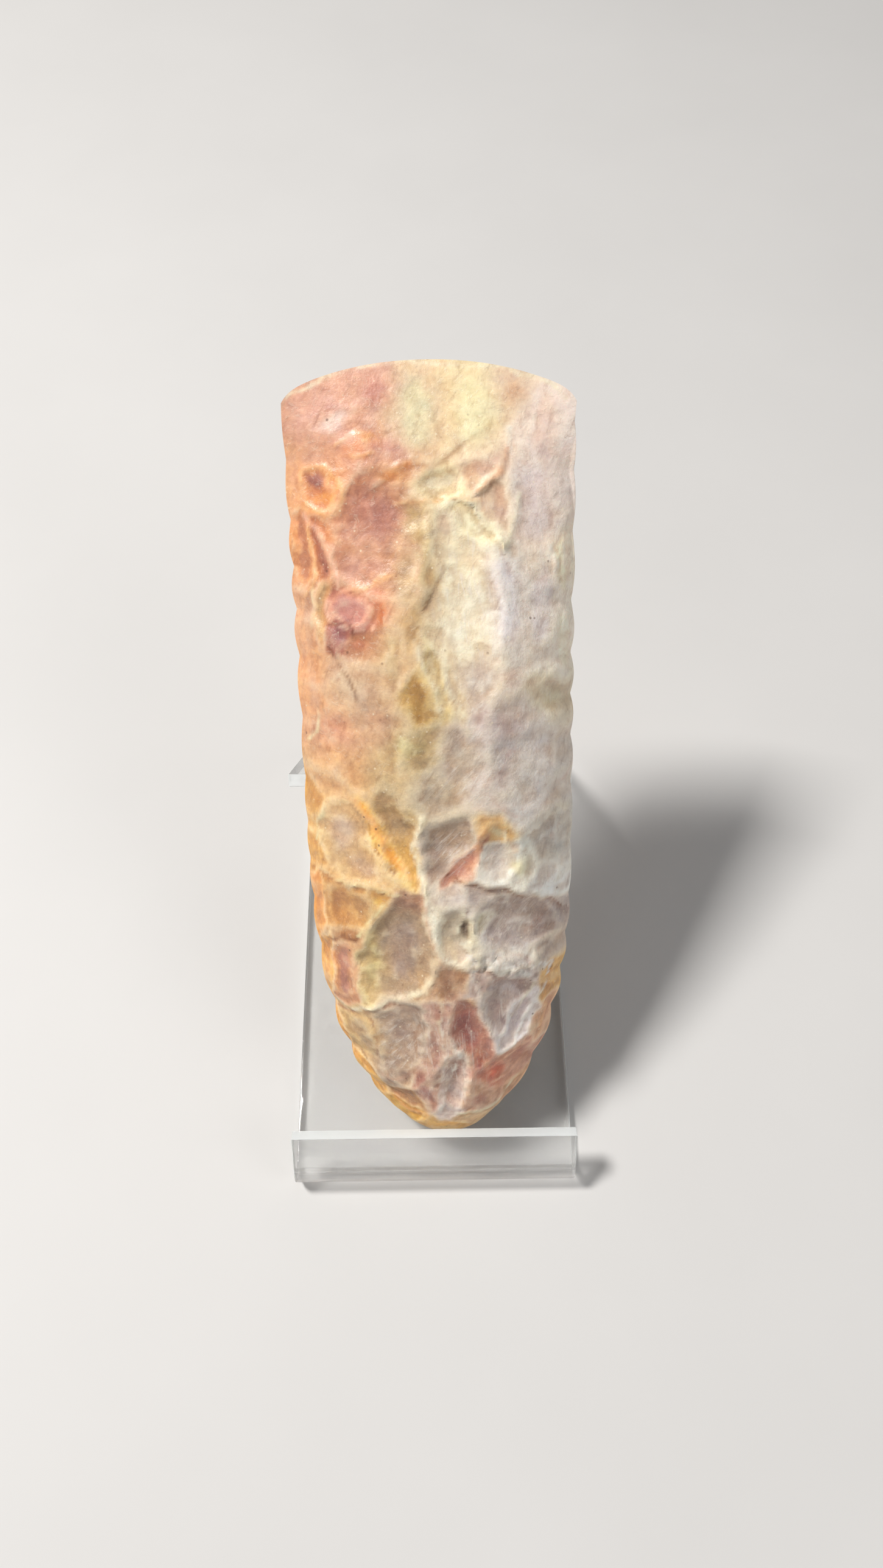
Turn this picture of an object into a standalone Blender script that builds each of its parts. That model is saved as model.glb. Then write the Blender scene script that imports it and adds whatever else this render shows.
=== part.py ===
"""Polished flint axe lying on its one-piece clear acrylic display stand.

Metres, +Z up, the stand's underside at z = 0. +Y runs to the rear, and +X is to the right of someone
who faces the stand's lip. The axe's butt stands behind the lip and its back leans on the rest.
"""
import math
import random

import bmesh
import bpy
import numpy as np
from mathutils import Matrix, Vector
from mathutils.bvhtree import BVHTree

MM = 0.001

# Stone axe: outline
AXE_LENGTH = 166.6 * MM         # butt tip to the middle of the cutting edge
AXE_WIDTH = 56.4 * MM           # over the two sides, along most of the length
AXE_THICKNESS = 31.0 * MM       # thickest, before flaking
BUTT_CHORD = 3.0 * MM           # width that is left at the very tip
BUTT_REACH = 75.0 * MM          # from the tip to where the sides run parallel
BUTT_POWER = 3.0                # how soon the outline widens from the tip
BUTT_FULLNESS = 0.58            # how blunt the outline is at the tip: less is blunter
BUTT_SWELL = 60.0 * MM          # from the tip to full thickness
SWELL_POWER = 2.6
SWELL_FULLNESS = 0.40
EDGE_REACH = 88.0 * MM          # from the cutting edge back to full thickness
EDGE_POWER = 2.3                # how soon the blade thickens behind the edge
SECTION_POWER = 2.2             # cross section: a lens, flatter in the middle with more power
SECTION_FULLNESS = 0.72         # and blunter at its sides with less fullness
LEAST_THICKNESS = 0.4           # share of the unflaked thickness that every scar leaves
EDGE_DROP = 5.8 * MM            # how far the cutting edge curves back towards its corners
EDGE_CURVE = 2.15               # power of that curve: 2 is a plain arc, more is flatter in the middle
CORNER_DROP = 1.8 * MM          # how much further the edge's worn corners are rounded back
CORNER_CURVE = 20               # power of that rounding, which keeps it close to the corners
AXIS_LEAN = 2.4 * MM            # sideways drift of the axe's middle line over its length
AXIS_START = 3.0 * MM           # where the butt tip stands, right of the stand's middle
SCALLOP_PITCH = 10.5 * MM       # spacing of the flake bites along the sides
SCALLOP_DEPTH = 0.55 * MM
SCALLOP_SHIFT = 0.9             # offset between the bites of the two sides
SCALLOP_DRIFT = 0.7             # unevenness of their spacing
SCALLOP_DRIFT_RATE = 0.37
SCALLOP_VARIATION = 0.4         # unevenness of their depth
SCALLOP_VARIATION_RATE = 0.23
BUTT_BITES = 1.3                # how much deeper the bites get towards the butt, as a share
BUTT_BITES_REACH = 95.0 * MM    # from the tip to where they are no deeper

# Stone axe: flaking
MAIN_CUT = 2.3 * MM             # depth of a main flake scar of relative depth 1
RIM_SCAR_LENGTH = 15.0 * MM     # along the edge
RIM_SCAR_REACH = 9.5 * MM       # from the edge inwards
RIM_SCAR_CUT = 1.0 * MM
RIM_SCAR_SEED = 7
RIM_SCARS_FROM = 0.05           # share of the length at which the rim's flaking starts
RIM_SCARS_SPAN = 0.86           # and over which it goes on
RIM_SCAR_WEAR = 0.55            # how much of their depth is ground away towards the blade

# Clear stand: one bent sheet
SHEET = 3.0 * MM                # thickness
STAND_WIDTH = 63.5 * MM
STAND_DEPTH = 114.4 * MM        # lip to rear bend, outside
LIP_HEIGHT = 16.4 * MM
LIP_ANGLE = math.radians(55)    # lip to base, inside
LIP_BEND = 2.0 * MM             # inner radius of the front bend
REST_LENGTH = 55.0 * MM         # flat length of the rest panel, rear bend to cut edge
REST_ANGLE = math.radians(52)   # rest panel to base, inside
REST_BEND = 3.0 * MM            # inner radius of the rear bend
SHEET_EASE = 0.3 * MM           # polished-off corner of the sheet
BEND_STEP = math.radians(8)     # facet angle of the bends

REST_GAP = 0.3 * MM             # left between the stone and the stand where they touch

# Mesh of the axe
CELLS_ACROSS = 28
CELLS_ALONG = 62
CROWDING = 0.07                 # draws the rows of the mesh towards the butt and the edge
RIM = 0.9999                    # grid coordinate past which a point lies on the rim
WELD = 0.001 * MM
SEAT_TRIES = 26                 # halvings of the tilt while the stone is seated

# Main flake scars, as shares of the axe's own length and half width:
# along, across, half length, half width, turn in degrees, relative depth, bias towards the far end
FRONT_SCARS = {
    "blade_dish": (0.930, 0.08, 0.048, 0.60, 0, 0.18, 0.0),
    "upper_step": (0.867, 0.15, 0.022, 0.32, -14, 0.35, 0.0),
    "between_ridges": (0.834, 0.39, 0.036, 0.18, 0, 0.45, 0.0),
    "centre_hollow": (0.714, 0.20, 0.138, 0.30, 0, 0.90, 0.25),
    "right_blade_field": (0.750, 0.70, 0.156, 0.29, 0, 0.45, 0.2),
    "upper_left_field": (0.810, -0.36, 0.075, 0.37, 20, 0.60, 0.2),
    "left_rim_patch": (0.864, -0.80, 0.030, 0.15, 0, 0.50, 0.0),
    "left_rim_upper": (0.786, -0.86, 0.054, 0.14, 0, 0.55, 0.0),
    "left_shoulder": (0.708, -0.58, 0.057, 0.27, -25, 0.62, 0.3),
    "left_field": (0.588, -0.52, 0.090, 0.34, 5, 0.55, -0.2),
    "middle_field": (0.552, 0.05, 0.072, 0.30, 0, 0.35, 0.0),
    "right_field": (0.552, 0.65, 0.078, 0.30, -6, 0.50, 0.2),
    "tan_facet": (0.444, -0.67, 0.069, 0.30, 8, 0.80, -0.3),
    "ochre_sliver": (0.450, -0.30, 0.066, 0.16, -20, 1.00, 0.0),
    "grey_hollow": (0.432, 0.07, 0.054, 0.20, 12, 0.75, 0.0),
    "white_facet": (0.432, 0.43, 0.036, 0.18, -15, 0.60, 0.0),
    "right_rim_field": (0.420, 0.78, 0.060, 0.20, 0, 0.50, 0.0),
    "brown_facet": (0.345, -0.72, 0.042, 0.21, 0, 0.60, 0.0),
    "olive_oval": (0.294, -0.35, 0.081, 0.28, 14, 1.15, -0.3),
    "dark_hollow": (0.324, 0.10, 0.042, 0.14, 10, 0.90, 0.0),
    "lavender_facet": (0.324, 0.54, 0.050, 0.37, 20, 1.00, 0.2),
    "left_strip": (0.258, -0.79, 0.054, 0.14, 0, 0.50, 0.0),
    "white_right_facet": (0.210, 0.51, 0.066, 0.23, -14, 0.85, 0.2),
    "red_facet": (0.180, 0.21, 0.060, 0.16, -12, 0.60, 0.0),
    "butt_mauve": (0.168, -0.31, 0.069, 0.28, 6, 1.00, 0.0),
    "butt_left_facet": (0.144, -0.66, 0.063, 0.20, -22, 0.80, 0.2),
    "butt_centre": (0.114, 0.06, 0.048, 0.14, 0, 0.80, -0.2),
    "butt_right_low": (0.102, 0.47, 0.057, 0.27, 24, 1.00, 0.2),
    "butt_left_low": (0.072, -0.35, 0.042, 0.18, -30, 0.70, 0.0),
}
BACK_SCARS = {
    "back_blade_dish": (0.860, -0.20, 0.090, 0.55, -60, 0.25, 0.0),
    "back_right": (0.560, 0.52, 0.120, 0.44, 10, 0.60, 0.2),
    "back_left": (0.380, -0.50, 0.110, 0.46, -16, 0.75, -0.2),
    "back_butt_right": (0.220, 0.44, 0.090, 0.46, 24, 0.90, 0.2),
    "back_butt_left": (0.130, -0.36, 0.080, 0.44, -28, 0.85, 0.0),
}
RIM_SCARS_PER_SIDE = 13


def clear_scene():
    for obj in list(bpy.data.objects):
        bpy.data.objects.remove(obj, do_unlink=True)


def make_material(name, color, roughness, transmission=0.0, ior=1.5):
    material = bpy.data.materials.new(name)
    material.use_nodes = True
    shader = material.node_tree.nodes["Principled BSDF"]
    shader.inputs["Base Color"].default_value = (*color, 1.0)
    shader.inputs["Roughness"].default_value = roughness
    shader.inputs["Metallic"].default_value = 0.0
    shader.inputs["Transmission Weight"].default_value = transmission
    shader.inputs["IOR"].default_value = ior
    return material


def swell(distance, reach, power, fullness):
    """0 at the end of a form, rising to 1 at reach and staying there."""
    share = np.clip(distance / reach, 0.0, 1.0)
    return (1.0 - (1.0 - share) ** power) ** fullness


def axis_offset(along):
    return AXIS_START - AXIS_LEAN * along / AXE_LENGTH


def half_width(along, side):
    """Half width of the outline, with the bites of the edge flaking."""
    taper = swell(along, BUTT_REACH, BUTT_POWER, BUTT_FULLNESS)
    tip = BUTT_CHORD / 2
    width = tip + (AXE_WIDTH / 2 - tip) * taper
    phase = math.pi * along / SCALLOP_PITCH + SCALLOP_SHIFT * side
    drift = SCALLOP_DRIFT * np.sin(SCALLOP_DRIFT_RATE * phase + side)
    rough = 1.0 + BUTT_BITES * (1.0 - swell(along, BUTT_BITES_REACH, 1.5, 1.0))
    bite = SCALLOP_DEPTH * rough * (1.0 - np.abs(np.sin(phase + drift)))
    return width - bite * taper * (1.0 + SCALLOP_VARIATION * np.sin(SCALLOP_VARIATION_RATE * phase))


def edge_line(across):
    """Distance of the cutting edge from the butt tip, at a share of the half width."""
    share = np.abs(across)
    return AXE_LENGTH - EDGE_DROP * share ** EDGE_CURVE - CORNER_DROP * share ** CORNER_CURVE


def plain_height(along, across):
    """Half thickness before flaking: a lens that closes at the sides, the edge and the butt."""
    butt = swell(along, BUTT_SWELL, SWELL_POWER, SWELL_FULLNESS)
    blade = swell(edge_line(across) - along, EDGE_REACH, EDGE_POWER, 1.0)
    section = (1.0 - np.abs(across) ** SECTION_POWER) ** SECTION_FULLNESS
    return AXE_THICKNESS / 2 * butt * blade * section


def scar_cut(along, x, centre_along, centre_x, half_long, half_wide, turn, depth, bias):
    """Depth that one shallow flake scar takes off, with a crisp border."""
    long_way = (along - centre_along) * math.cos(turn) + (x - centre_x) * math.sin(turn)
    wide_way = (x - centre_x) * math.cos(turn) - (along - centre_along) * math.sin(turn)
    reach = (long_way / half_long) ** 2 + (wide_way / half_wide) ** 2
    bowl = np.clip(1.0 - reach, 0.0, 1.0)
    return depth * bowl * (1.0 + bias * np.clip(long_way / half_long, -1.0, 1.0))


def rim_scars(face):
    """Small flake scars that run along both sides, from the butt to below the cutting edge."""
    draw = random.Random(RIM_SCAR_SEED + face)
    step = RIM_SCARS_SPAN / RIM_SCARS_PER_SIDE
    for side in (-1, 1):
        for index in range(RIM_SCARS_PER_SIDE):
            along = (RIM_SCARS_FROM + step * (index + draw.uniform(0.2, 0.8))) * AXE_LENGTH
            wear = 1.0 - RIM_SCAR_WEAR * index / RIM_SCARS_PER_SIDE
            x = side * half_width(along, side) * draw.uniform(0.86, 0.98)
            yield (along, x,
                   RIM_SCAR_LENGTH / 2 * draw.uniform(0.8, 1.25),
                   RIM_SCAR_REACH * draw.uniform(0.75, 1.2),
                   math.radians(draw.uniform(-22, 22)),
                   RIM_SCAR_CUT * wear * draw.uniform(0.7, 1.3), 0.0)


def face_height(along, across, x, face):
    """Height of one flaked face over the axe's middle plane; face is 1 in front and -1 behind."""
    plain = plain_height(along, across)
    cut = np.zeros_like(plain)
    scars = FRONT_SCARS if face > 0 else BACK_SCARS
    for share, across_share, half_long, half_wide, turn, depth, bias in scars.values():
        cut = np.maximum(cut, scar_cut(
            along, x, share * AXE_LENGTH, across_share * AXE_WIDTH / 2,
            half_long * AXE_LENGTH, half_wide * AXE_WIDTH / 2,
            math.radians(turn), MAIN_CUT * depth, bias))
    for scar in rim_scars(face):
        cut = np.maximum(cut, scar_cut(along, x, *scar))
    return np.maximum(plain - cut, LEAST_THICKNESS * plain)


def axe_point(u, v, face):
    """Point of the axe in its own frame, for grid coordinates -1..1 on one face."""
    across = np.sin(u * math.pi / 2)
    start = (v + 1.0) / 2
    share = start - CROWDING * np.sin(2 * math.pi * start)
    along = share * edge_line(across)
    side = np.where(across < 0, -1.0, 1.0)
    x = across * half_width(along, side)
    height = face * face_height(along, across, x, face)
    closed = (np.abs(u) > RIM) | (np.abs(v) > RIM)
    return np.stack([x + axis_offset(along), along, np.where(closed, 0.0, height)], axis=-1)


def make_axe_mesh():
    """Two grids, one for each face, shaped by the functions above and welded along the rim."""
    shape = bmesh.new()
    for face in (1, -1):
        grid = bmesh.ops.create_grid(shape, x_segments=CELLS_ACROSS, y_segments=CELLS_ALONG, size=1.0)
        verts = grid["verts"]
        flat = np.array([vert.co[:] for vert in verts])
        for vert, place in zip(verts, axe_point(flat[:, 0], flat[:, 1], face)):
            vert.co = place
        if face < 0:
            faces = {near for vert in verts for near in vert.link_faces}
            bmesh.ops.reverse_faces(shape, faces=list(faces))
    bmesh.ops.remove_doubles(shape, verts=shape.verts, dist=WELD)
    bmesh.ops.triangulate(shape, faces=shape.faces)
    return shape


def arc(centre, radius, start, end):
    """Points of an arc in the (y, z) plane, both ends included."""
    steps = max(2, math.ceil(abs(end - start) / BEND_STEP))
    turns = [start + (end - start) * step / steps for step in range(steps + 1)]
    return [(centre[0] + radius * math.cos(turn), centre[1] + radius * math.sin(turn)) for turn in turns]


def stand_layout():
    """Bend centres and cut-edge corners of the stand, as (y, z)."""
    outer_front = LIP_BEND + SHEET
    outer_rear = REST_BEND + SHEET
    front = (outer_front, outer_front)
    rear = (STAND_DEPTH - outer_rear, outer_rear)
    lip_normal = (-math.sin(LIP_ANGLE), math.cos(LIP_ANGLE))
    lip_foot = tuple(c + outer_front * n for c, n in zip(front, lip_normal))
    lip_length = (LIP_HEIGHT - lip_foot[1]) / math.sin(LIP_ANGLE)
    lip_top = (lip_foot[0] + lip_length * math.cos(LIP_ANGLE), LIP_HEIGHT)
    lip_inner_top = tuple(c - SHEET * n for c, n in zip(lip_top, lip_normal))
    rest_normal = (math.sin(REST_ANGLE), math.cos(REST_ANGLE))
    rest_foot = tuple(c + outer_rear * n for c, n in zip(rear, rest_normal))
    rest_top = (rest_foot[0] - REST_LENGTH * math.cos(REST_ANGLE),
                rest_foot[1] + REST_LENGTH * math.sin(REST_ANGLE))
    rest_inner_top = tuple(c - SHEET * n for c, n in zip(rest_top, rest_normal))
    return {"front": front, "rear": rear, "lip_top": lip_top, "lip_inner_top": lip_inner_top,
            "rest_top": rest_top, "rest_inner_top": rest_inner_top}


def make_stand(collection, material):
    """The sheet's outer surface, swept across the stand, with Solidify for its thickness."""
    places = stand_layout()
    outer_front = LIP_BEND + SHEET
    outer_rear = REST_BEND + SHEET
    profile = [places["lip_top"]]
    profile += arc(places["front"], outer_front, math.pi / 2 + LIP_ANGLE, 3 * math.pi / 2)
    profile += arc(places["rear"], outer_rear, -math.pi / 2, math.pi / 2 - REST_ANGLE)
    profile.append(places["rest_top"])
    shape = bmesh.new()
    line = [shape.verts.new((-STAND_WIDTH / 2, y, z)) for y, z in profile]
    edges = [shape.edges.new(pair) for pair in zip(line, line[1:])]
    swept = bmesh.ops.extrude_edge_only(shape, edges=edges)["geom"]
    moved = [item for item in swept if isinstance(item, bmesh.types.BMVert)]
    bmesh.ops.translate(shape, verts=moved, vec=(STAND_WIDTH, 0, 0))
    bmesh.ops.recalc_face_normals(shape, faces=shape.faces)
    down = sum(face.normal.z * face.calc_area() for face in shape.faces
               if abs(face.calc_center_median().z) < SHEET_EASE)
    if down > 0:
        bmesh.ops.reverse_faces(shape, faces=shape.faces)
    mesh = bpy.data.meshes.new("acrylic_stand")
    shape.to_mesh(mesh)
    shape.free()
    stand = bpy.data.objects.new("acrylic_stand", mesh)
    collection.objects.link(stand)
    stand.data.materials.append(material)
    thickness = stand.modifiers.new("sheet", "SOLIDIFY")
    thickness.thickness = SHEET
    thickness.offset = -1.0
    thickness.use_even_offset = True
    ease = stand.modifiers.new("eased corners", "BEVEL")
    ease.width = SHEET_EASE
    ease.segments = 1
    ease.limit_method = "ANGLE"
    ease.angle_limit = math.radians(40)
    return stand


def lip_guard():
    """Points (y, z) along the lip's inner face and cut edge, which the stone must stay behind."""
    places = stand_layout()
    bend = arc(places["front"], LIP_BEND, math.pi / 2 + LIP_ANGLE, math.radians(225))
    return bend + [places["lip_inner_top"], places["lip_top"]]


def dense(points, step):
    """The same open line with points no further apart than step."""
    result = []
    for (y0, z0), (y1, z1) in zip(points, points[1:]):
        count = max(1, math.ceil(math.hypot(y1 - y0, z1 - z0) / step))
        result += [(y0 + (y1 - y0) * k / count, z0 + (z1 - z0) * k / count) for k in range(count)]
    return result + [points[-1]]


def turned_tree(shape, tilt):
    turned = shape.copy()
    turned.transform(Matrix.Rotation(tilt, 4, "X"))
    tree = BVHTree.FromBMesh(turned)
    lowest = min(vert.co.z for vert in turned.verts)
    turned.free()
    return tree, lowest


def first_hit(tree, rows, make_origin, direction):
    """Nearest hit of parallel rays spread over the stand's width, as a distance, or None."""
    hits = []
    for x in rows:
        distance = tree.ray_cast(Vector(make_origin(x)), Vector(direction))[3]
        if distance is not None:
            hits.append(distance)
    return min(hits) if hits else None


def seat_axe(shape):
    """Tilt and place at which the stone rests on the base, against the lip and on the rest."""
    places = stand_layout()
    rows = [STAND_WIDTH * share / 40 for share in range(-20, 21)]
    guard = dense(lip_guard(), 0.4 * MM)
    corners = dense([places["rest_inner_top"], places["rest_top"]], SHEET / 4)
    far = 4 * AXE_LENGTH

    def place(tilt):
        tree, lowest = turned_tree(shape, tilt)
        up = SHEET + REST_GAP - lowest
        side_gap = REST_GAP / math.sin(tilt)
        shifts = []
        for y, z in guard:
            hit = first_hit(tree, rows, lambda x: (x, -far, z - up), (0, 1, 0))
            if hit is not None:
                shifts.append(y + side_gap - (hit - far))
        back = max(shifts)
        lift_gap = REST_GAP / math.cos(tilt)
        spare = []
        for y, z in corners:
            hit = first_hit(tree, rows, lambda x: (x, y - back, -far), (0, 0, 1))
            if hit is not None:
                spare.append(hit - far + up - z - lift_gap)
        return back, up, min(spare) if spare else far

    low, high = math.radians(8), math.radians(80)
    for _ in range(SEAT_TRIES):
        middle = (low + high) / 2
        if place(middle)[2] > 0:
            high = middle
        else:
            low = middle
    back, up, _ = place(high)
    return high, back, up


def make_axe(collection, material):
    shape = make_axe_mesh()
    tilt, back, up = seat_axe(shape)
    mesh = bpy.data.meshes.new("flint_axe")
    shape.to_mesh(mesh)
    shape.free()
    mesh.shade_smooth()
    mesh.set_sharp_from_angle(angle=math.radians(35))
    axe = bpy.data.objects.new("flint_axe", mesh)
    collection.objects.link(axe)
    axe.data.materials.append(material)
    axe.rotation_euler = (tilt, 0, 0)
    axe.location = (0, back, up)
    return axe


def rear_reach(axe):
    """Furthest y of the tilted stone or the stand."""
    turn = Matrix.Rotation(axe.rotation_euler.x, 4, "X")
    reach = max((turn @ vert.co).y for vert in axe.data.vertices) + axe.location.y
    return max(reach, STAND_DEPTH)


def build():
    clear_scene()
    collection = bpy.data.collections.new("axe on stand")
    bpy.context.scene.collection.children.link(collection)
    stone = make_material("polished flint", (0.62, 0.47, 0.38), 0.32)
    acrylic = make_material("clear acrylic", (0.95, 0.97, 0.97), 0.05, transmission=1.0, ior=1.49)
    base = bpy.data.objects.new("base centre", None)
    collection.objects.link(base)
    stand = make_stand(collection, acrylic)
    axe = make_axe(collection, stone)
    stand.parent = base
    axe.parent = base
    base.location = (0, -rear_reach(axe) / 2, 0)


build()
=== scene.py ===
"""Looks of a polished flint axe and its clear stand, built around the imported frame.

Metres, +Z up. The stone's own frame has x across, y along from the butt tip to the cutting edge and
z out of the front face. Places on the stone are millimetres: (x, along), with x = 0 at the stand's middle.
"""
import math
import random

import bmesh
import bpy
import numpy as np
from mathutils import Matrix, Vector, noise


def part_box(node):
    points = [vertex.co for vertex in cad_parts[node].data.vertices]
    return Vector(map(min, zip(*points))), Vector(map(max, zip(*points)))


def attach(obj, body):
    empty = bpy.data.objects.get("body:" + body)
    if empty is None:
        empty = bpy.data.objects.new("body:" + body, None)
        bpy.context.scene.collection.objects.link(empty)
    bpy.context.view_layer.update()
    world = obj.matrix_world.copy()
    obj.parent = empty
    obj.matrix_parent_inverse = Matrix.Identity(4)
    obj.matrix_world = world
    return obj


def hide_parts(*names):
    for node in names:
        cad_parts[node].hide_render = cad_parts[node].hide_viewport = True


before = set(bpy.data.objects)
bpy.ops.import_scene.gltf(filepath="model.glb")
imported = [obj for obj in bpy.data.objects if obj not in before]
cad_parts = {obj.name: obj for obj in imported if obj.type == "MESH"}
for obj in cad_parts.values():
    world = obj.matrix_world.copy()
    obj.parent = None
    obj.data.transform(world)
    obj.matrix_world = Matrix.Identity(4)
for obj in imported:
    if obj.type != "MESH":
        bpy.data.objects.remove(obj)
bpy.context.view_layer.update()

MM = 0.001

# The picture
IMAGE_HEIGHT_PX = 2576
FOCAL_PX = 1909
CAMERA_PLACE = (0.39 * MM, -113.09 * MM, 279.31 * MM)
CAMERA_PITCH = math.radians(60.9)    # below the horizon
CAMERA_YAW = math.radians(-0.98)
CAMERA_ROLL = math.radians(0.13)
SENSOR_HEIGHT_MM = 24.0

# The stone's form, as in its solid
AXE_WIDTH = 56.4 * MM
AXE_THICKNESS = 31.0 * MM
BUTT_CHORD = 3.0 * MM
BUTT_REACH = 75.0 * MM
BUTT_POWER = 3.0
BUTT_FULLNESS = 0.58
BUTT_SWELL = 60.0 * MM
SWELL_POWER = 2.6
SWELL_FULLNESS = 0.40
EDGE_REACH = 88.0 * MM
EDGE_POWER = 2.3
SECTION_POWER = 2.2
SECTION_FULLNESS = 0.72
LEAST_THICKNESS = 0.4
EDGE_DROP = 5.8 * MM
EDGE_CURVE = 2.15
CORNER_DROP = 1.8 * MM
CORNER_CURVE = 20
AXIS_LEAN = 2.4 * MM
AXIS_START = 3.0 * MM
SCALLOP_PITCH = 10.5 * MM
SCALLOP_DEPTH = 0.55 * MM
SCALLOP_SHIFT = 0.9
SCALLOP_DRIFT = 0.7
SCALLOP_DRIFT_RATE = 0.37
SCALLOP_VARIATION = 0.4
SCALLOP_VARIATION_RATE = 0.23
BUTT_BITES = 1.3
BUTT_BITES_REACH = 95.0 * MM
MAIN_CUT = 2.3 * MM
RIM_SCAR_LENGTH = 15.0 * MM
RIM_SCAR_REACH = 9.5 * MM
RIM_SCAR_CUT = 1.0 * MM
RIM_SCAR_SEED = 7
RIM_SCARS_FROM = 0.05
RIM_SCARS_SPAN = 0.86
RIM_SCAR_WEAR = 0.55
RIM_SCARS_PER_SIDE = 13
CELLS_ACROSS = 136
CELLS_ALONG = 350
CROWDING = 0.07
RIM = 0.9999                    # grid coordinate past which a point lies on the rim
WELD = 0.001 * MM

# The stand's form, as in its solid
SHEET = 3.0 * MM
LIP_HEIGHT = 16.4 * MM
LIP_ANGLE = math.radians(55)
LIP_BEND = 2.0 * MM
REST_LENGTH = 55.0 * MM
REST_ANGLE = math.radians(52)
REST_BEND = 3.0 * MM
SHEET_EASE = 0.3 * MM
BEND_STEP = math.radians(3)

# Finer relief, in the scene alone: places and sizes on the stone are in mm
LEAST_LINE = 0.40                    # least half width of a line, a cell of the fine grid
LINE_LEAST = 0.40                    # share of a line's height and colour that is left where it thins out
STEP_FADE = 1.6                      # how soon the ground rises again behind a step
RIDGE_FALL = 0.9                     # distance from a ridge over which a facet falls away
SOFTEST = 1.2                        # blend width from which a border shows no ridge
WITHIN = 1.6                         # blend width between the facets of one surface
FACET_CORE = 0.9                     # how deep inside a facet its inner colour is pure, of its half width
RELIEF_FROM = 2.5 * MM               # half thickness at which the relief has its full height
LEAST_WITH_RELIEF = 0.3              # share of the unflaked thickness that every scar and line leaves
UNDULATION = ((0.10, 9.0, 20, 2), (0.05, 2.4, 30, 3))    # height, size, seed, octaves
SCATTERED_SCARS = 90                 # small scars on each face
SCATTER_SEED = 23
SCATTER_DEPTH = (0.08, 0.28)
SCATTER_HALF_LONG = (2.5, 8.5)
SCATTER_HALF_WIDE = (2.0, 5.5)
SCATTER_FADE = 0.85                  # how much fainter they are on the ground blade
SCATTER_FADES = (45, 110)            # where on the length they get fainter
CHIP_SEED = 11
CHIP_COUNT = 64
CHIP_BAND = (7, 26, 46.6, 50)        # x from, x to, along from, along to, at the band's left end
CHIP_BAND_FALL = 6                   # how much lower the band lies at its right end
CHIP_HALF_WIDE = (0.45, 1.1)
CHIP_HALF_LONG = (0.4, 0.9)
CHIP_DEPTH = (0.08, 0.34)
CHIP_SOFTNESS = 0.6
FAR = 1e9

# How the colours are laid on
LINE_COVER = 0.86                    # scales how strongly the lines cover what is under them
# Painted highlights on the ridges and crests of the relief, painted shade in its valleys
RIDGE_WIDTH = 0.34                   # half width of the painted highlight on the ridge between two crisp facets (mm)
RIDGE_HIGHLIGHT_COVER = 0.34
RIDGE_HIGHLIGHT_GAIN = 0.30                    # how much brighter than its facets a ridge is painted, as a painted highlight
RIDGE_REACH = 3                      # cells over which a ridge or a valley is told from its surroundings
RIDGE_HEIGHT = 0.075 * MM            # height at which a ridge gets its full painted highlight, and a valley its full painted shade
CREST_HIGHLIGHT_COVER = 0.20
VALLEY_SHADE = 0.36
WHITE_CHIP = 0.19                    # depth (mm) from which a chip is white
DARK_CHIP = 0.12                     # and below which it is dark
BRIGHTER = 1.02                      # makes up for what the material's mottling takes off
WARMER = 0.01
BLADE_CALM = 0.45                    # how much weaker the uneven tone is on the ground blade
BLADE_CALMS = (85, 110)              # where on the length it gets weaker (mm)
# Smooth noise in layers: strength, size (mm), seed, octaves
TONE = ((0.13, 5.5, 51, 3), (0.13, 1.6, 52, 3))
WARMTH = ((0.05, 10.0, 53, 3), (0.035, 2.8, 54, 2))
RAGGED = ((0.26, 5.0, 71, 3),)

# Layers of the flint's own colour: noise scale, detail, roughness, distortion, shows from, full at,
# cover, colour, blend
FLINT_LAYERS = {
    "cloud": (170, 6, 0.62, 0.8, 0.34, 0.66, 0.42, (236, 218, 190), "SOFT_LIGHT"),
    "dark": (300, 7, 0.72, 1.4, 0.50, 0.72, 0.26, (176, 128, 102), "MULTIPLY"),
    "grain": (1100, 4, 0.7, 0.0, 0.30, 0.70, 0.40, (252, 244, 230), "SOFT_LIGHT"),
    "wrinkle": (620, 6, 0.7, 1.8, 0.54, 0.66, 0.18, (240, 222, 194), "MIX"),
    "rust": (95, 5, 0.7, 1.0, 0.56, 0.74, 0.26, (188, 112, 82), "MIX"),
}
# Streaks: drawn out by, turn in degrees, noise scale, roughness, distortion, shows from, full at
FLINT_STREAKS = {
    "lengthwise": (7.0, 4, 1150, 0.65, 0.4, 0.48, 0.70),
    "aslant": (7.0, -44, 1050, 0.65, 0.5, 0.48, 0.70),
    "shade": (5.0, -24, 760, 0.6, 0.5, 0.52, 0.74),
}
STREAK_COVER = 0.46
STREAK_COLOUR = (238, 228, 214)
SHADE_COVER = 0.26
SHADE_COLOUR = (150, 112, 96)
# Dots: scale, shows from, full at, scale of the noise that spreads them, cover, colour
FLINT_DOTS = {
    "specks": (520, 0.16, 0.05, 240, 0.60, (240, 224, 192)),
    "pits": (300, 0.12, 0.04, 110, 0.70, (104, 70, 54)),
}
FLINT_ROUGHNESS = (0.34, 0.56)
CHIP_GLOSS = 0.14
ACRYLIC_IOR = 1.49

# The shader's sockets by short name
SOCKETS = {
    "base": "Base Color", "rough": "Roughness", "normal": "Normal", "alpha": "Alpha",
    "clear": "Transmission Weight", "coat": "Coat Weight", "coat_rough": "Coat Roughness",
    "subsurface": "Subsurface Weight", "radius": "Subsurface Radius", "subsurface_scale": "Subsurface Scale",
}

# Studio
FLOOR_SIZE = 8.0
FLOOR_GAP = 0.15 * MM                # keeps the floor clear of the stand's underside
FLOOR_COLOURS = ((199, 197, 194), (206, 204, 201))
LIT_PLACE = (0.0, 0.0, 0.06)
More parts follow.
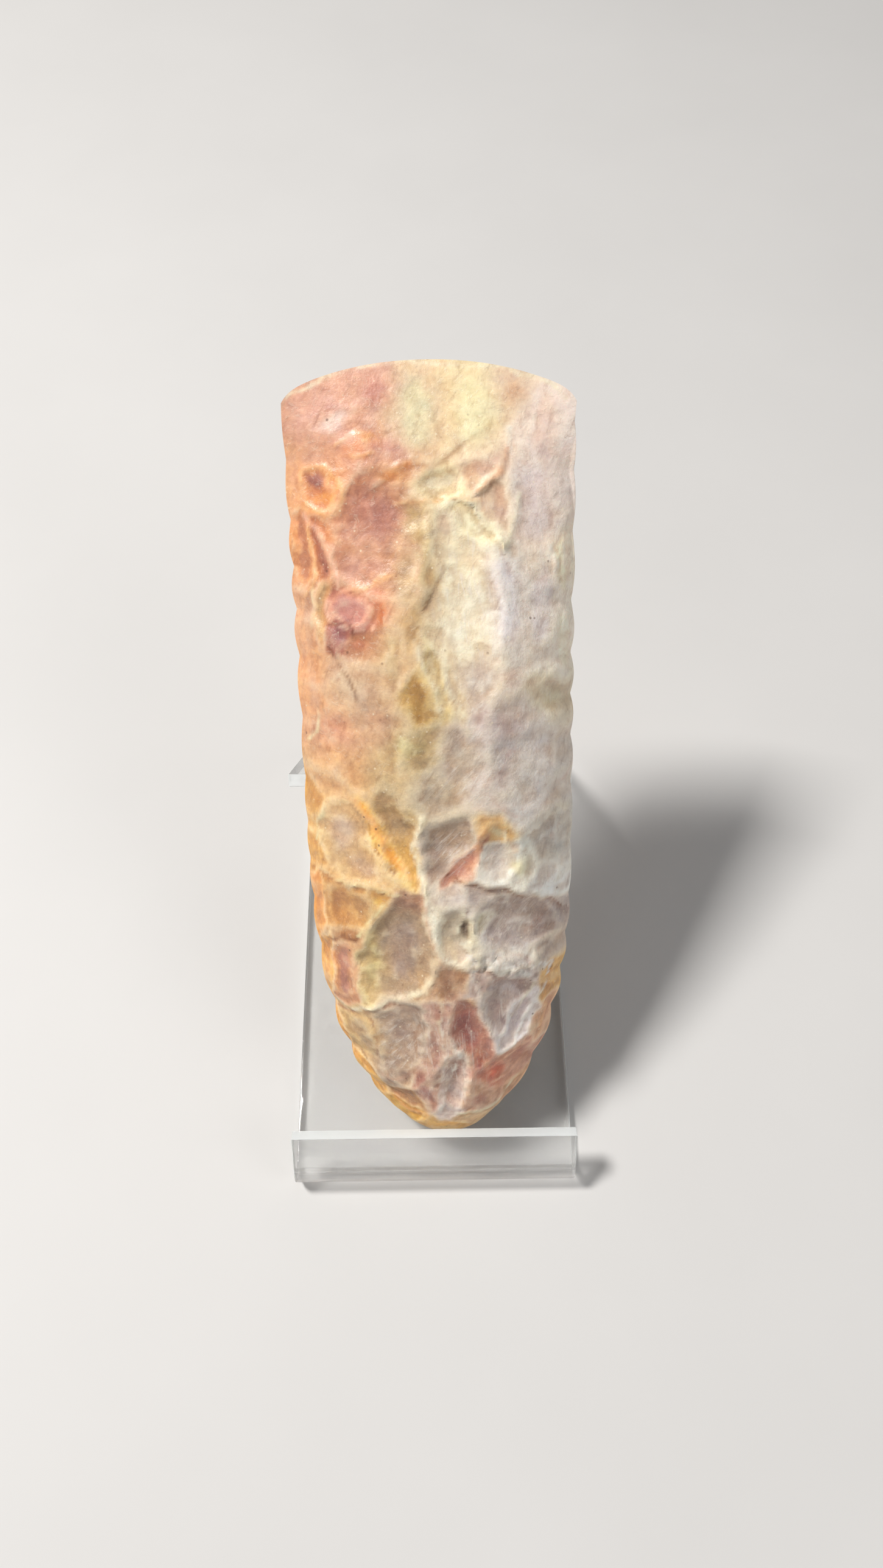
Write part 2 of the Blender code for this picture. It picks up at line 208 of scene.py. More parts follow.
# Place, size (m), power (W), colour
LIGHTS = {
    "key": ((-0.66, 0.24, 1.20), (0.24, 0.24), 22.0, (1.0, 0.985, 0.97)),
    "fill": ((0.80, -0.40, 0.75), (0.6, 0.6), 3.0, (0.98, 0.99, 1.0)),
    "front": ((-0.30, -0.95, 0.55), (0.7, 0.4), 1.3, (1.0, 1.0, 1.0)),
}
ROOM_COLOUR = (0.95, 0.96, 1.0, 1.0)
ROOM_LIGHT = 0.16

# Main flake scars, as in the solid: along, across, half length, half width, turn, depth, bias
FRONT_SCARS = (
    (0.93, 0.08, 0.048, 0.6, 0, 0.18, 0),
    (0.867, 0.15, 0.022, 0.32, -14, 0.35, 0),
    (0.834, 0.39, 0.036, 0.18, 0, 0.45, 0),
    (0.714, 0.2, 0.138, 0.3, 0, 0.9, 0.25),
    (0.75, 0.7, 0.156, 0.29, 0, 0.45, 0.2),
    (0.81, -0.36, 0.075, 0.37, 20, 0.6, 0.2),
    (0.864, -0.8, 0.03, 0.15, 0, 0.5, 0),
    (0.786, -0.86, 0.054, 0.14, 0, 0.55, 0),
    (0.708, -0.58, 0.057, 0.27, -25, 0.62, 0.3),
    (0.588, -0.52, 0.09, 0.34, 5, 0.55, -0.2),
    (0.552, 0.05, 0.072, 0.3, 0, 0.35, 0),
    (0.552, 0.65, 0.078, 0.3, -6, 0.5, 0.2),
    (0.444, -0.67, 0.069, 0.3, 8, 0.8, -0.3),
    (0.45, -0.3, 0.066, 0.16, -20, 1, 0),
    (0.432, 0.07, 0.054, 0.2, 12, 0.75, 0),
    (0.432, 0.43, 0.036, 0.18, -15, 0.6, 0),
    (0.42, 0.78, 0.06, 0.2, 0, 0.5, 0),
    (0.345, -0.72, 0.042, 0.21, 0, 0.6, 0),
    (0.294, -0.35, 0.081, 0.28, 14, 1.15, -0.3),
    (0.324, 0.1, 0.042, 0.14, 10, 0.9, 0),
    (0.324, 0.54, 0.05, 0.37, 20, 1, 0.2),
    (0.258, -0.79, 0.054, 0.14, 0, 0.5, 0),
    (0.21, 0.51, 0.066, 0.23, -14, 0.85, 0.2),
    (0.18, 0.21, 0.06, 0.16, -12, 0.6, 0),
    (0.168, -0.31, 0.069, 0.28, 6, 1, 0),
    (0.144, -0.66, 0.063, 0.2, -22, 0.8, 0.2),
    (0.114, 0.06, 0.048, 0.14, 0, 0.8, -0.2),
    (0.102, 0.47, 0.057, 0.27, 24, 1, 0.2),
    (0.072, -0.35, 0.042, 0.18, -30, 0.7, 0),
)
BACK_SCARS = (
    (0.86, -0.2, 0.09, 0.55, -60, 0.25, 0),
    (0.56, 0.52, 0.12, 0.44, 10, 0.6, 0.2),
    (0.38, -0.5, 0.11, 0.46, -16, 0.75, -0.2),
    (0.22, 0.44, 0.09, 0.46, 24, 0.9, 0.2),
    (0.13, -0.36, 0.08, 0.44, -28, 0.85, 0),
)

# The stone's colours, as the eye sees them, 0 to 255
PALETTE = {
    "peach": (210, 154, 124),
    "terracotta": (182, 124, 102),
    "brick": (164, 100, 84),
    "orange": (212, 128, 80),
    "bright_orange": (228, 156, 92),
    "ochre": (208, 152, 78),
    "dark_ochre": (150, 108, 52),
    "tan": (186, 150, 112),
    "khaki": (178, 152, 104),
    "brown": (156, 108, 76),
    "dark_brown": (96, 62, 46),
    "mauve": (146, 98, 98),
    "grey_mauve": (166, 144, 140),
    "lavender": (198, 180, 176),
    "pale_lavender": (212, 197, 192),
    "grey": (156, 140, 124),
    "dark_grey": (108, 96, 82),
    "cream": (220, 204, 158),
    "yellow_cream": (220, 208, 156),
    "pale_cream": (228, 216, 186),
    "white": (232, 226, 216),
    "pink": (200, 140, 122),
    "bright_pink": (232, 164, 138),
    "dusty_pink": (190, 130, 122),
}

# Facets of the front, which tile it, grouped by the surface that they form: no ridge lies within one.
# Each place belongs to the facet whose oval is nearest: x, along, half width, half length (mm), turn in
# degrees, depth (mm), colour inside, colour at its border, width of the blend to its neighbours (mm)
FACETS = {
    "blade": (
        (-19, 157, 8, 7, 0, 0.05, (202, 150, 132), (200, 146, 124), 2),
        (-9.5, 161, 3.6, 4.2, 10, 0.05, (184, 126, 114), (194, 142, 122), 2),
        (-2, 156.5, 4.6, 8, 0, 0.05, (206, 194, 158), (208, 180, 146), 2),
        (9, 157.5, 5, 7.5, -6, 0.05, (226, 216, 174), (220, 200, 162), 2),
        (17, 160.5, 2.8, 3.4, 20, 0.05, (198, 156, 128), (208, 178, 152), 1.6),
        (22.6, 154, 4.4, 8, 0, 0.05, (226, 196, 182), (232, 212, 200), 2),
        (-21, 149.4, 4.5, 2.6, 0, 0.1, (200, 146, 120), (206, 150, 118), 1.5),
        (-7, 150, 5, 3, 15, 0.12, (182, 126, 108), (190, 136, 112), 1.8),
        (-26, 146, 1.4, 5, 0, 0.15, (208, 154, 122), (214, 158, 120), 1.6),
    ),
    "left_field": (
        (-9, 138.5, 7.2, 5.5, 20, 0.22, (170, 114, 100), (186, 130, 108), 1.4),
        (-12, 129, 6, 3.6, 0, 0.2, (190, 134, 112), (200, 144, 114), 1.4),
        (-2.6, 137.4, 3, 3.6, 0, 0.25, (186, 164, 116), (192, 160, 114), 1.3),
        (-4.2, 126.5, 2.8, 5.6, 0, 0.25, (196, 166, 128), (200, 162, 126), 1.3),
        (-9.2, 122.2, 2.4, 4.4, -10, 0.15, (206, 130, 98), (200, 140, 108), 1.1),
    ),
    "step_crumbs": ((-5, 146.6, 3.6, 1.2, -22, 0.3, (222, 150, 98), (206, 148, 104), 0.5),),
    "step_triangle": ((2.6, 144.9, 4.2, 1.8, -14, 0.4, (236, 228, 198), (222, 202, 162), 0.5),),
    "step_right": ((10.6, 147.2, 4.2, 2, -20, 0.18, (224, 188, 164), (228, 198, 172), 1),),
    "arch_light": ((8.4, 137.4, 1.9, 5.6, -51, 0.25, (244, 234, 196), (238, 224, 182), 0.35),),
    "arch_pink": ((14, 140.4, 1.8, 4.2, -6, 0.3, (220, 186, 164), (228, 204, 180), 0.4),),
    "hollow": (
        (3.8, 137.2, 1.8, 3.4, 0, 0.2, (230, 208, 182), (226, 206, 170), 1),
        (6.8, 130, 4, 5.6, 0, 0.08, (253, 243, 210), (244, 230, 196), 1.6),
        (6.6, 119, 4.6, 7.4, -6, 0.08, (253, 243, 214), (244, 230, 198), 1.8),
        (15.4, 123, 3.8, 10, -6, 0.08, (224, 214, 212), (226, 214, 204), 2),
        (10.4, 107.4, 3.4, 4.6, -20, 0.1, (218, 204, 190), (210, 192, 174), 1.5),
        (22.2, 121, 3, 9, 0, 0.1, (228, 216, 212), (230, 216, 202), 1.8),
        (21.6, 141, 4.2, 8.4, 0, 0.12, (226, 206, 200), (230, 212, 202), 1.6),
    ),
    # The hollow's left wall in darker khaki: painted shade on the wall that faces away from the light
    "shaded_hollow_wall": (
        (-0.4, 131.5, 1.7, 6.8, -3, 0.2, (188, 160, 116), (206, 180, 136), 1.2),
        (-2.6, 119.5, 1.9, 6.4, 12, 0.2, (180, 146, 104), (200, 166, 122), 1.2),
    ),
    "right_rim_high": ((26.4, 128, 1.3, 5.6, 0, 0.2, (254, 240, 210), (250, 232, 210), 0.9),),
    "right_rim_middle": ((27.2, 113.4, 1.5, 5.6, 0, 0.2, (255, 243, 218), (250, 234, 214), 0.9),),
    "right_cream": ((24.4, 102.4, 2.8, 3.4, 0, 0.3, (232, 218, 184), (224, 208, 182), 0.7),),
    "patch": ((-20.2, 143.2, 3.2, 2.8, 0, 0.1, (204, 134, 96), (220, 150, 100), 0.4),),
    "left_strip": ((-20.6, 132, 1.3, 5.6, -6, 0.35, (178, 116, 96), (206, 138, 102), 0.4),),
    "left_rim_high": ((-24, 132, 1.4, 6.4, 0, 0.35, (192, 134, 108), (216, 150, 108), 0.5),),
    "left_middle": (
        (-6.8, 112.6, 2.6, 6, 4, 0.3, (196, 168, 130), (202, 170, 134), 1.2),
        (-13, 114.4, 2.4, 2, 0, 0.2, (180, 118, 92), (188, 134, 104), 0.8),
        (-15, 106.2, 4.6, 5, 10, 0.2, (204, 178, 152), (200, 166, 138), 1.6),
        (-19, 96.6, 4, 3.4, 0, 0.15, (208, 150, 122), (210, 156, 124), 1.6),
        (-10.4, 99.4, 3.8, 3, 0, 0.2, (202, 158, 130), (200, 162, 132), 1.6),
        (-18, 88.2, 4.8, 4.4, 0, 0.2, (206, 164, 128), (212, 164, 120), 1.5),
        (-8.4, 87, 4.2, 4.2, 0, 0.2, (184, 156, 116), (190, 162, 122), 1.2),
        (-3, 94.8, 4.4, 3, 0, 0.25, (176, 154, 108), (188, 164, 122), 0.9),
        (-23.2, 104.5, 2, 6, 0, 0.3, (212, 160, 126), (222, 158, 112), 0.9),
        (-23.6, 118.5, 1.5, 6.6, 4, 0.3, (204, 158, 130), (216, 160, 124), 0.6),
    ),
    "left_strip_low": ((-20.6, 120, 0.9, 5, 6, 0.25, (210, 172, 130), (216, 166, 120), 0.4),),
    "nodule": ((-14.9, 120.6, 3.5, 3.2, 0, 0.05, (190, 132, 120), (172, 106, 96), 0.4),),
    "lump": ((-17.4, 115.8, 2.3, 2, 0, 0.05, (142, 92, 94), (164, 102, 92), 0.4),),
    "neck_foot": ((-2.2, 103.6, 1.7, 4.2, 6, 0.5, (162, 128, 74), (186, 152, 96), 0.7),),
    "tongue": ((1.8, 107.6, 1, 5.8, -12, 0.25, (224, 206, 160), (216, 192, 140), 0.4),),
    "tongue_right": ((5.2, 104.8, 1.2, 5.4, -14, 0.2, (216, 200, 170), (210, 190, 156), 0.6),),
    "right_middle": (
        (13.6, 98.6, 6, 3.4, 12, 0.15, (200, 182, 178), (208, 192, 186), 1.4),
        (22.6, 93, 4.2, 4.4, 0, 0.12, (216, 206, 202), (218, 208, 200), 1.6),
        (5.4, 92, 3.2, 3.4, 10, 0.2, (188, 172, 154), (194, 176, 158), 1.2),
        (12.8, 87.6, 4.2, 4.4, 10, 0.12, (206, 192, 186), (208, 196, 188), 1.6),
        (1, 85.4, 4.2, 3, 0, 0.2, (178, 164, 144), (186, 170, 148), 1.2),
        (21.6, 82.4, 4.6, 4.2, 0, 0.15, (212, 204, 200), (216, 208, 200), 1.4),
    ),
    "rim_gold_high": ((-24.8, 80, 1, 5.6, -4, 0.3, (206, 152, 84), (216, 160, 92), 0.4),),
    "tan_facet": (
        (-18, 75, 4, 5.8, 0, 0.3, (208, 178, 152), (222, 186, 140), 0.5),
        (-13.6, 69, 4.4, 2.8, 20, 0.3, (210, 178, 148), (222, 184, 134), 1.3),
    ),
    "rim_left": ((-24.4, 69.6, 0.6, 4.8, 0, 0.3, (208, 150, 84), (218, 160, 90), 0.4),),
    "sliver": ((-10.2, 75.4, 1.1, 8.6, -31, 0.08, (236, 164, 72), (240, 186, 104), 0.25),),
    "wedge": (
        (-6, 78, 2.8, 3.2, -10, 0.6, (178, 154, 122), (198, 166, 120), 0.5),
        (-4.6, 70.8, 1.6, 4, -10, 0.5, (218, 174, 100), (224, 182, 108), 0.4),
    ),
    "grey_high": (
        (3.8, 75.6, 4.4, 2.8, 0, 0.45, (168, 152, 138), (186, 172, 158), 0.3),
        (0.6, 70.2, 2, 3.8, 20, 0.45, (160, 142, 132), (180, 164, 152), 0.4),
    ),
    "red_plane": ((6.9, 70.4, 1.1, 7, 38, 0.4, (180, 128, 112), (196, 146, 126), 0.25),),
    "hook_facet": ((13.4, 76.2, 2, 1.4, 20, 0.35, (240, 224, 184), (234, 190, 132), 0.3),),
    "white_middle": (
        (13.2, 70.6, 2.6, 3.2, -14, 0.4, (222, 220, 218), (234, 230, 222), 0.3),
        (18.8, 68.4, 2.8, 3.2, -20, 0.4, (232, 224, 192), (232, 228, 212), 0.4),
    ),
    "right_side": (
        (24.6, 73, 2.8, 4.4, 0, 0.35, (200, 194, 186), (208, 202, 192), 0.5),
        (24.4, 63.8, 3.2, 2.8, 24, 0.4, (234, 230, 222), (238, 234, 226), 0.3),
    ),
    "ring": (
        (1.4, 56.4, 1.6, 4.8, -16, 0.3, (232, 224, 202), (224, 208, 182), 0.3),
        (4.8, 57, 1, 3.2, -18, 0.2, (214, 208, 184), (220, 212, 190), 0.4),
        (3.8, 62.6, 2.8, 2.2, 0, 0.3, (200, 184, 174), (208, 194, 182), 0.3),
        (6.4, 49.2, 2.6, 1.8, 0, 0.3, (208, 196, 180), (214, 202, 182), 0.5),
        (10.2, 56.6, 1.4, 2.8, -10, 0.25, (208, 206, 186), (214, 208, 192), 0.5),
    ),
    "high_facets": (
        (9.8, 61.6, 3, 2.6, 14, 0.35, (170, 158, 154), (192, 182, 176), 0.3),
        (17.2, 59.4, 4.4, 2.4, 26, 0.4, (174, 160, 156), (192, 178, 170), 0.3),
        (23.4, 54.4, 3, 3, 20, 0.4, (162, 146, 144), (180, 164, 158), 0.4),
        (14.8, 53.2, 3.8, 3.2, 20, 0.4, (200, 190, 190), (212, 204, 202), 0.5),
        (15.6, 47.6, 6.4, 1.8, 16, 0.25, (204, 194, 186), (216, 208, 192), 0.5),
    ),
    "dark_hollow": ((7, 54.8, 1.6, 2.8, -24, 0.9, (108, 96, 82), (190, 184, 164), 0.4),),
    "chip_right": ((24.8, 47.2, 2, 2.6, 10, 0.3, (180, 164, 156), (196, 180, 168), 0.5),),
    "brown": (
        (-19.8, 59.4, 2.3, 4.4, 0, 0.4, (178, 132, 88), (200, 148, 94), 0.3),
        (-15, 60.4, 2.2, 3.4, -6, 0.4, (190, 148, 102), (208, 164, 110), 0.3),
        (-11, 61.4, 1.8, 1.5, -20, 0.3, (226, 180, 98), (210, 162, 98), 0.4),
    ),
    "rim_ochre": ((-24.6, 57.4, 0.7, 7, 4, 0.3, (218, 148, 84), (228, 156, 88), 0.3),),
    "oval": (
        (-6.2, 50.4, 5.4, 8.6, 10, 0.8, (168, 152, 142), (186, 164, 136), 0.6),
        (-12.8, 47.2, 1.8, 6.8, 6, 0.5, (204, 184, 132), (214, 190, 138), 0.6),
        (-4.6, 60.6, 2.2, 1.4, 10, 0.4, (156, 118, 102), (170, 128, 106), 0.5),
    ),
    # Brown under the left rim beside the oval: painted shadow
    "rim_shadow_brown": ((-17.4, 51.8, 2.4, 1.2, 0, 0.35, (166, 122, 88), (184, 138, 98), 0.4),),
    "pink_strip": ((-18.4, 43.2, 1.6, 6.4, 4, 0.4, (188, 132, 114), (208, 150, 112), 0.3),),
    "rim_low_left": ((-22.8, 42.6, 0.6, 7.6, 6, 0.3, (222, 158, 92), (230, 170, 100), 0.3),),
    "butt_red": (
        (7.4, 31.6, 2.5, 6, -14, 0.45, (168, 110, 104), (188, 134, 120), 0.3),
        (9.8, 22.8, 1.9, 3.2, -6, 0.4, (174, 114, 106), (194, 142, 126), 0.4),
        (13.3, 18.6, 2, 1.8, 0, 0.15, (238, 112, 80), (216, 122, 98), 0.9),
        (3.4, 44, 2.2, 3, -6, 0.4, (164, 126, 100), (180, 144, 116), 0.4),
    ),
    "white_high": (
        (10.8, 42.6, 2.8, 2.8, -10, 0.4, (166, 146, 142), (188, 170, 162), 0.3),
        (17.8, 41, 3, 3.2, 20, 0.4, (182, 164, 164), (202, 186, 182), 0.3),
        (13.8, 35, 1.7, 4.8, -24, 0.45, (184, 164, 162), (206, 190, 184), 0.35),
    ),
    "white_right": ((18.8, 33.2, 2.5, 6, 28, 0.5, (222, 212, 216), (236, 228, 226), 0.3),),
    "rim_brown": ((25.6, 40, 1.1, 3.4, 6, 0.5, (210, 152, 84), (222, 172, 106), 0.3),),
    "rim_pink": ((24.4, 29.6, 0.8, 5, 20, 0.4, (212, 156, 126), (226, 176, 142), 0.3),),
    "butt_middle": (
        (2, 34.6, 1.3, 4.2, -12, 0.35, (162, 122, 112), (186, 150, 136), 0.3),
        (0.4, 26, 1.7, 5, -4, 0.35, (172, 134, 124), (190, 158, 142), 0.35),
        (-1.8, 17, 1.7, 4.4, -14, 0.4, (158, 116, 110), (180, 140, 126), 0.35),
    ),
    "butt_grey": (
        (-6.4, 30.6, 4, 5.2, 8, 0.45, (164, 146, 136), (182, 162, 146), 0.35),
        (-8, 20.8, 3.2, 4.2, -24, 0.4, (166, 146, 132), (182, 160, 140), 0.4),
        (-15.4, 27.6, 2.6, 5.8, -18, 0.45, (192, 162, 124), (210, 172, 118), 0.35),
    ),
    "butt_rim": ((-20.6, 27.2, 0.5, 6.6, -18, 0.4, (218, 154, 82), (230, 164, 88), 0.3),),
    "gold_low": ((-13.8, 15, 0.9, 4.6, -38, 0.4, (232, 176, 72), (228, 166, 78), 0.3),),
    "gold_foot": ((-7.6, 8.9, 2.4, 0.7, 30, 0.35, (238, 184, 84), (230, 172, 84), 0.3),),
    "butt_pocket": ((-6, 13.8, 2, 1.4, 30, 0.4, (178, 132, 98), (190, 146, 106), 0.4),),
    "butt_pale": (
        (3.6, 12.8, 1.7, 3.8, -4, 0.35, (198, 178, 174), (214, 198, 192), 0.3),
        (4.8, 21.6, 1.5, 3.8, -6, 0.35, (184, 146, 138), (208, 184, 174), 0.3),
    ),
    "butt_pink": (
        (18.6, 20.6, 2.7, 4.2, 30, 0.45, (192, 136, 122), (208, 154, 132), 0.35),
        (9.6, 12.8, 2.6, 2.6, 10, 0.4, (192, 142, 124), (208, 164, 140), 0.4),
    ),
    "butt_rim_right": ((18.6, 10.8, 0.6, 4.2, 40, 0.4, (208, 152, 118), (224, 172, 134), 0.35),),
    "butt_foot": ((9, 7.4, 3.4, 1, -6, 0.3, (228, 192, 152), (222, 182, 140), 0.4),),
    "tip": ((2.6, 4, 3.6, 1.6, 0, 0.2, (236, 186, 124), (230, 172, 100), 0.5),),
}

# Colour areas of the back, which the picture doesn't show: the same stone, plainer.
# x, along, half width, half length, turn, colour, strength, softness
BACK_AREAS = {
    "left_side": (-18, 110, 17, 60, 0, "lavender", 0.85, 0.7),
    "right_side": (19, 110, 18, 62, 0, "peach", 0.85, 0.7),
    "middle": (0, 96, 12, 46, 6, "cream", 0.8, 0.7),
    "blade": (-6, 154, 18, 9, 0, "grey_mauve", 0.5, 0.8),
    "blade_cream": (9, 156, 9, 8, 0, "pale_cream", 0.7, 0.8),
    "right_rust": (18, 128, 7, 9, -12, "terracotta", 0.7, 0.7),
    "left_khaki": (-12, 78, 8, 14, 10, "khaki", 0.6, 0.8),
    "right_tan": (12, 74, 9, 13, -10, "tan", 0.7, 0.7),
    "butt_grey": (0, 34, 15, 22, 0, "grey", 0.8, 0.6),
    "butt_mauve": (-9, 26, 6, 9, -14, "mauve", 0.5, 0.8),
    "butt_gold": (12, 20, 6, 8, 20, "ochre", 0.6, 0.7),
    "butt_pink": (-14, 44, 5, 9, 0, "pink", 0.5, 0.8),
}

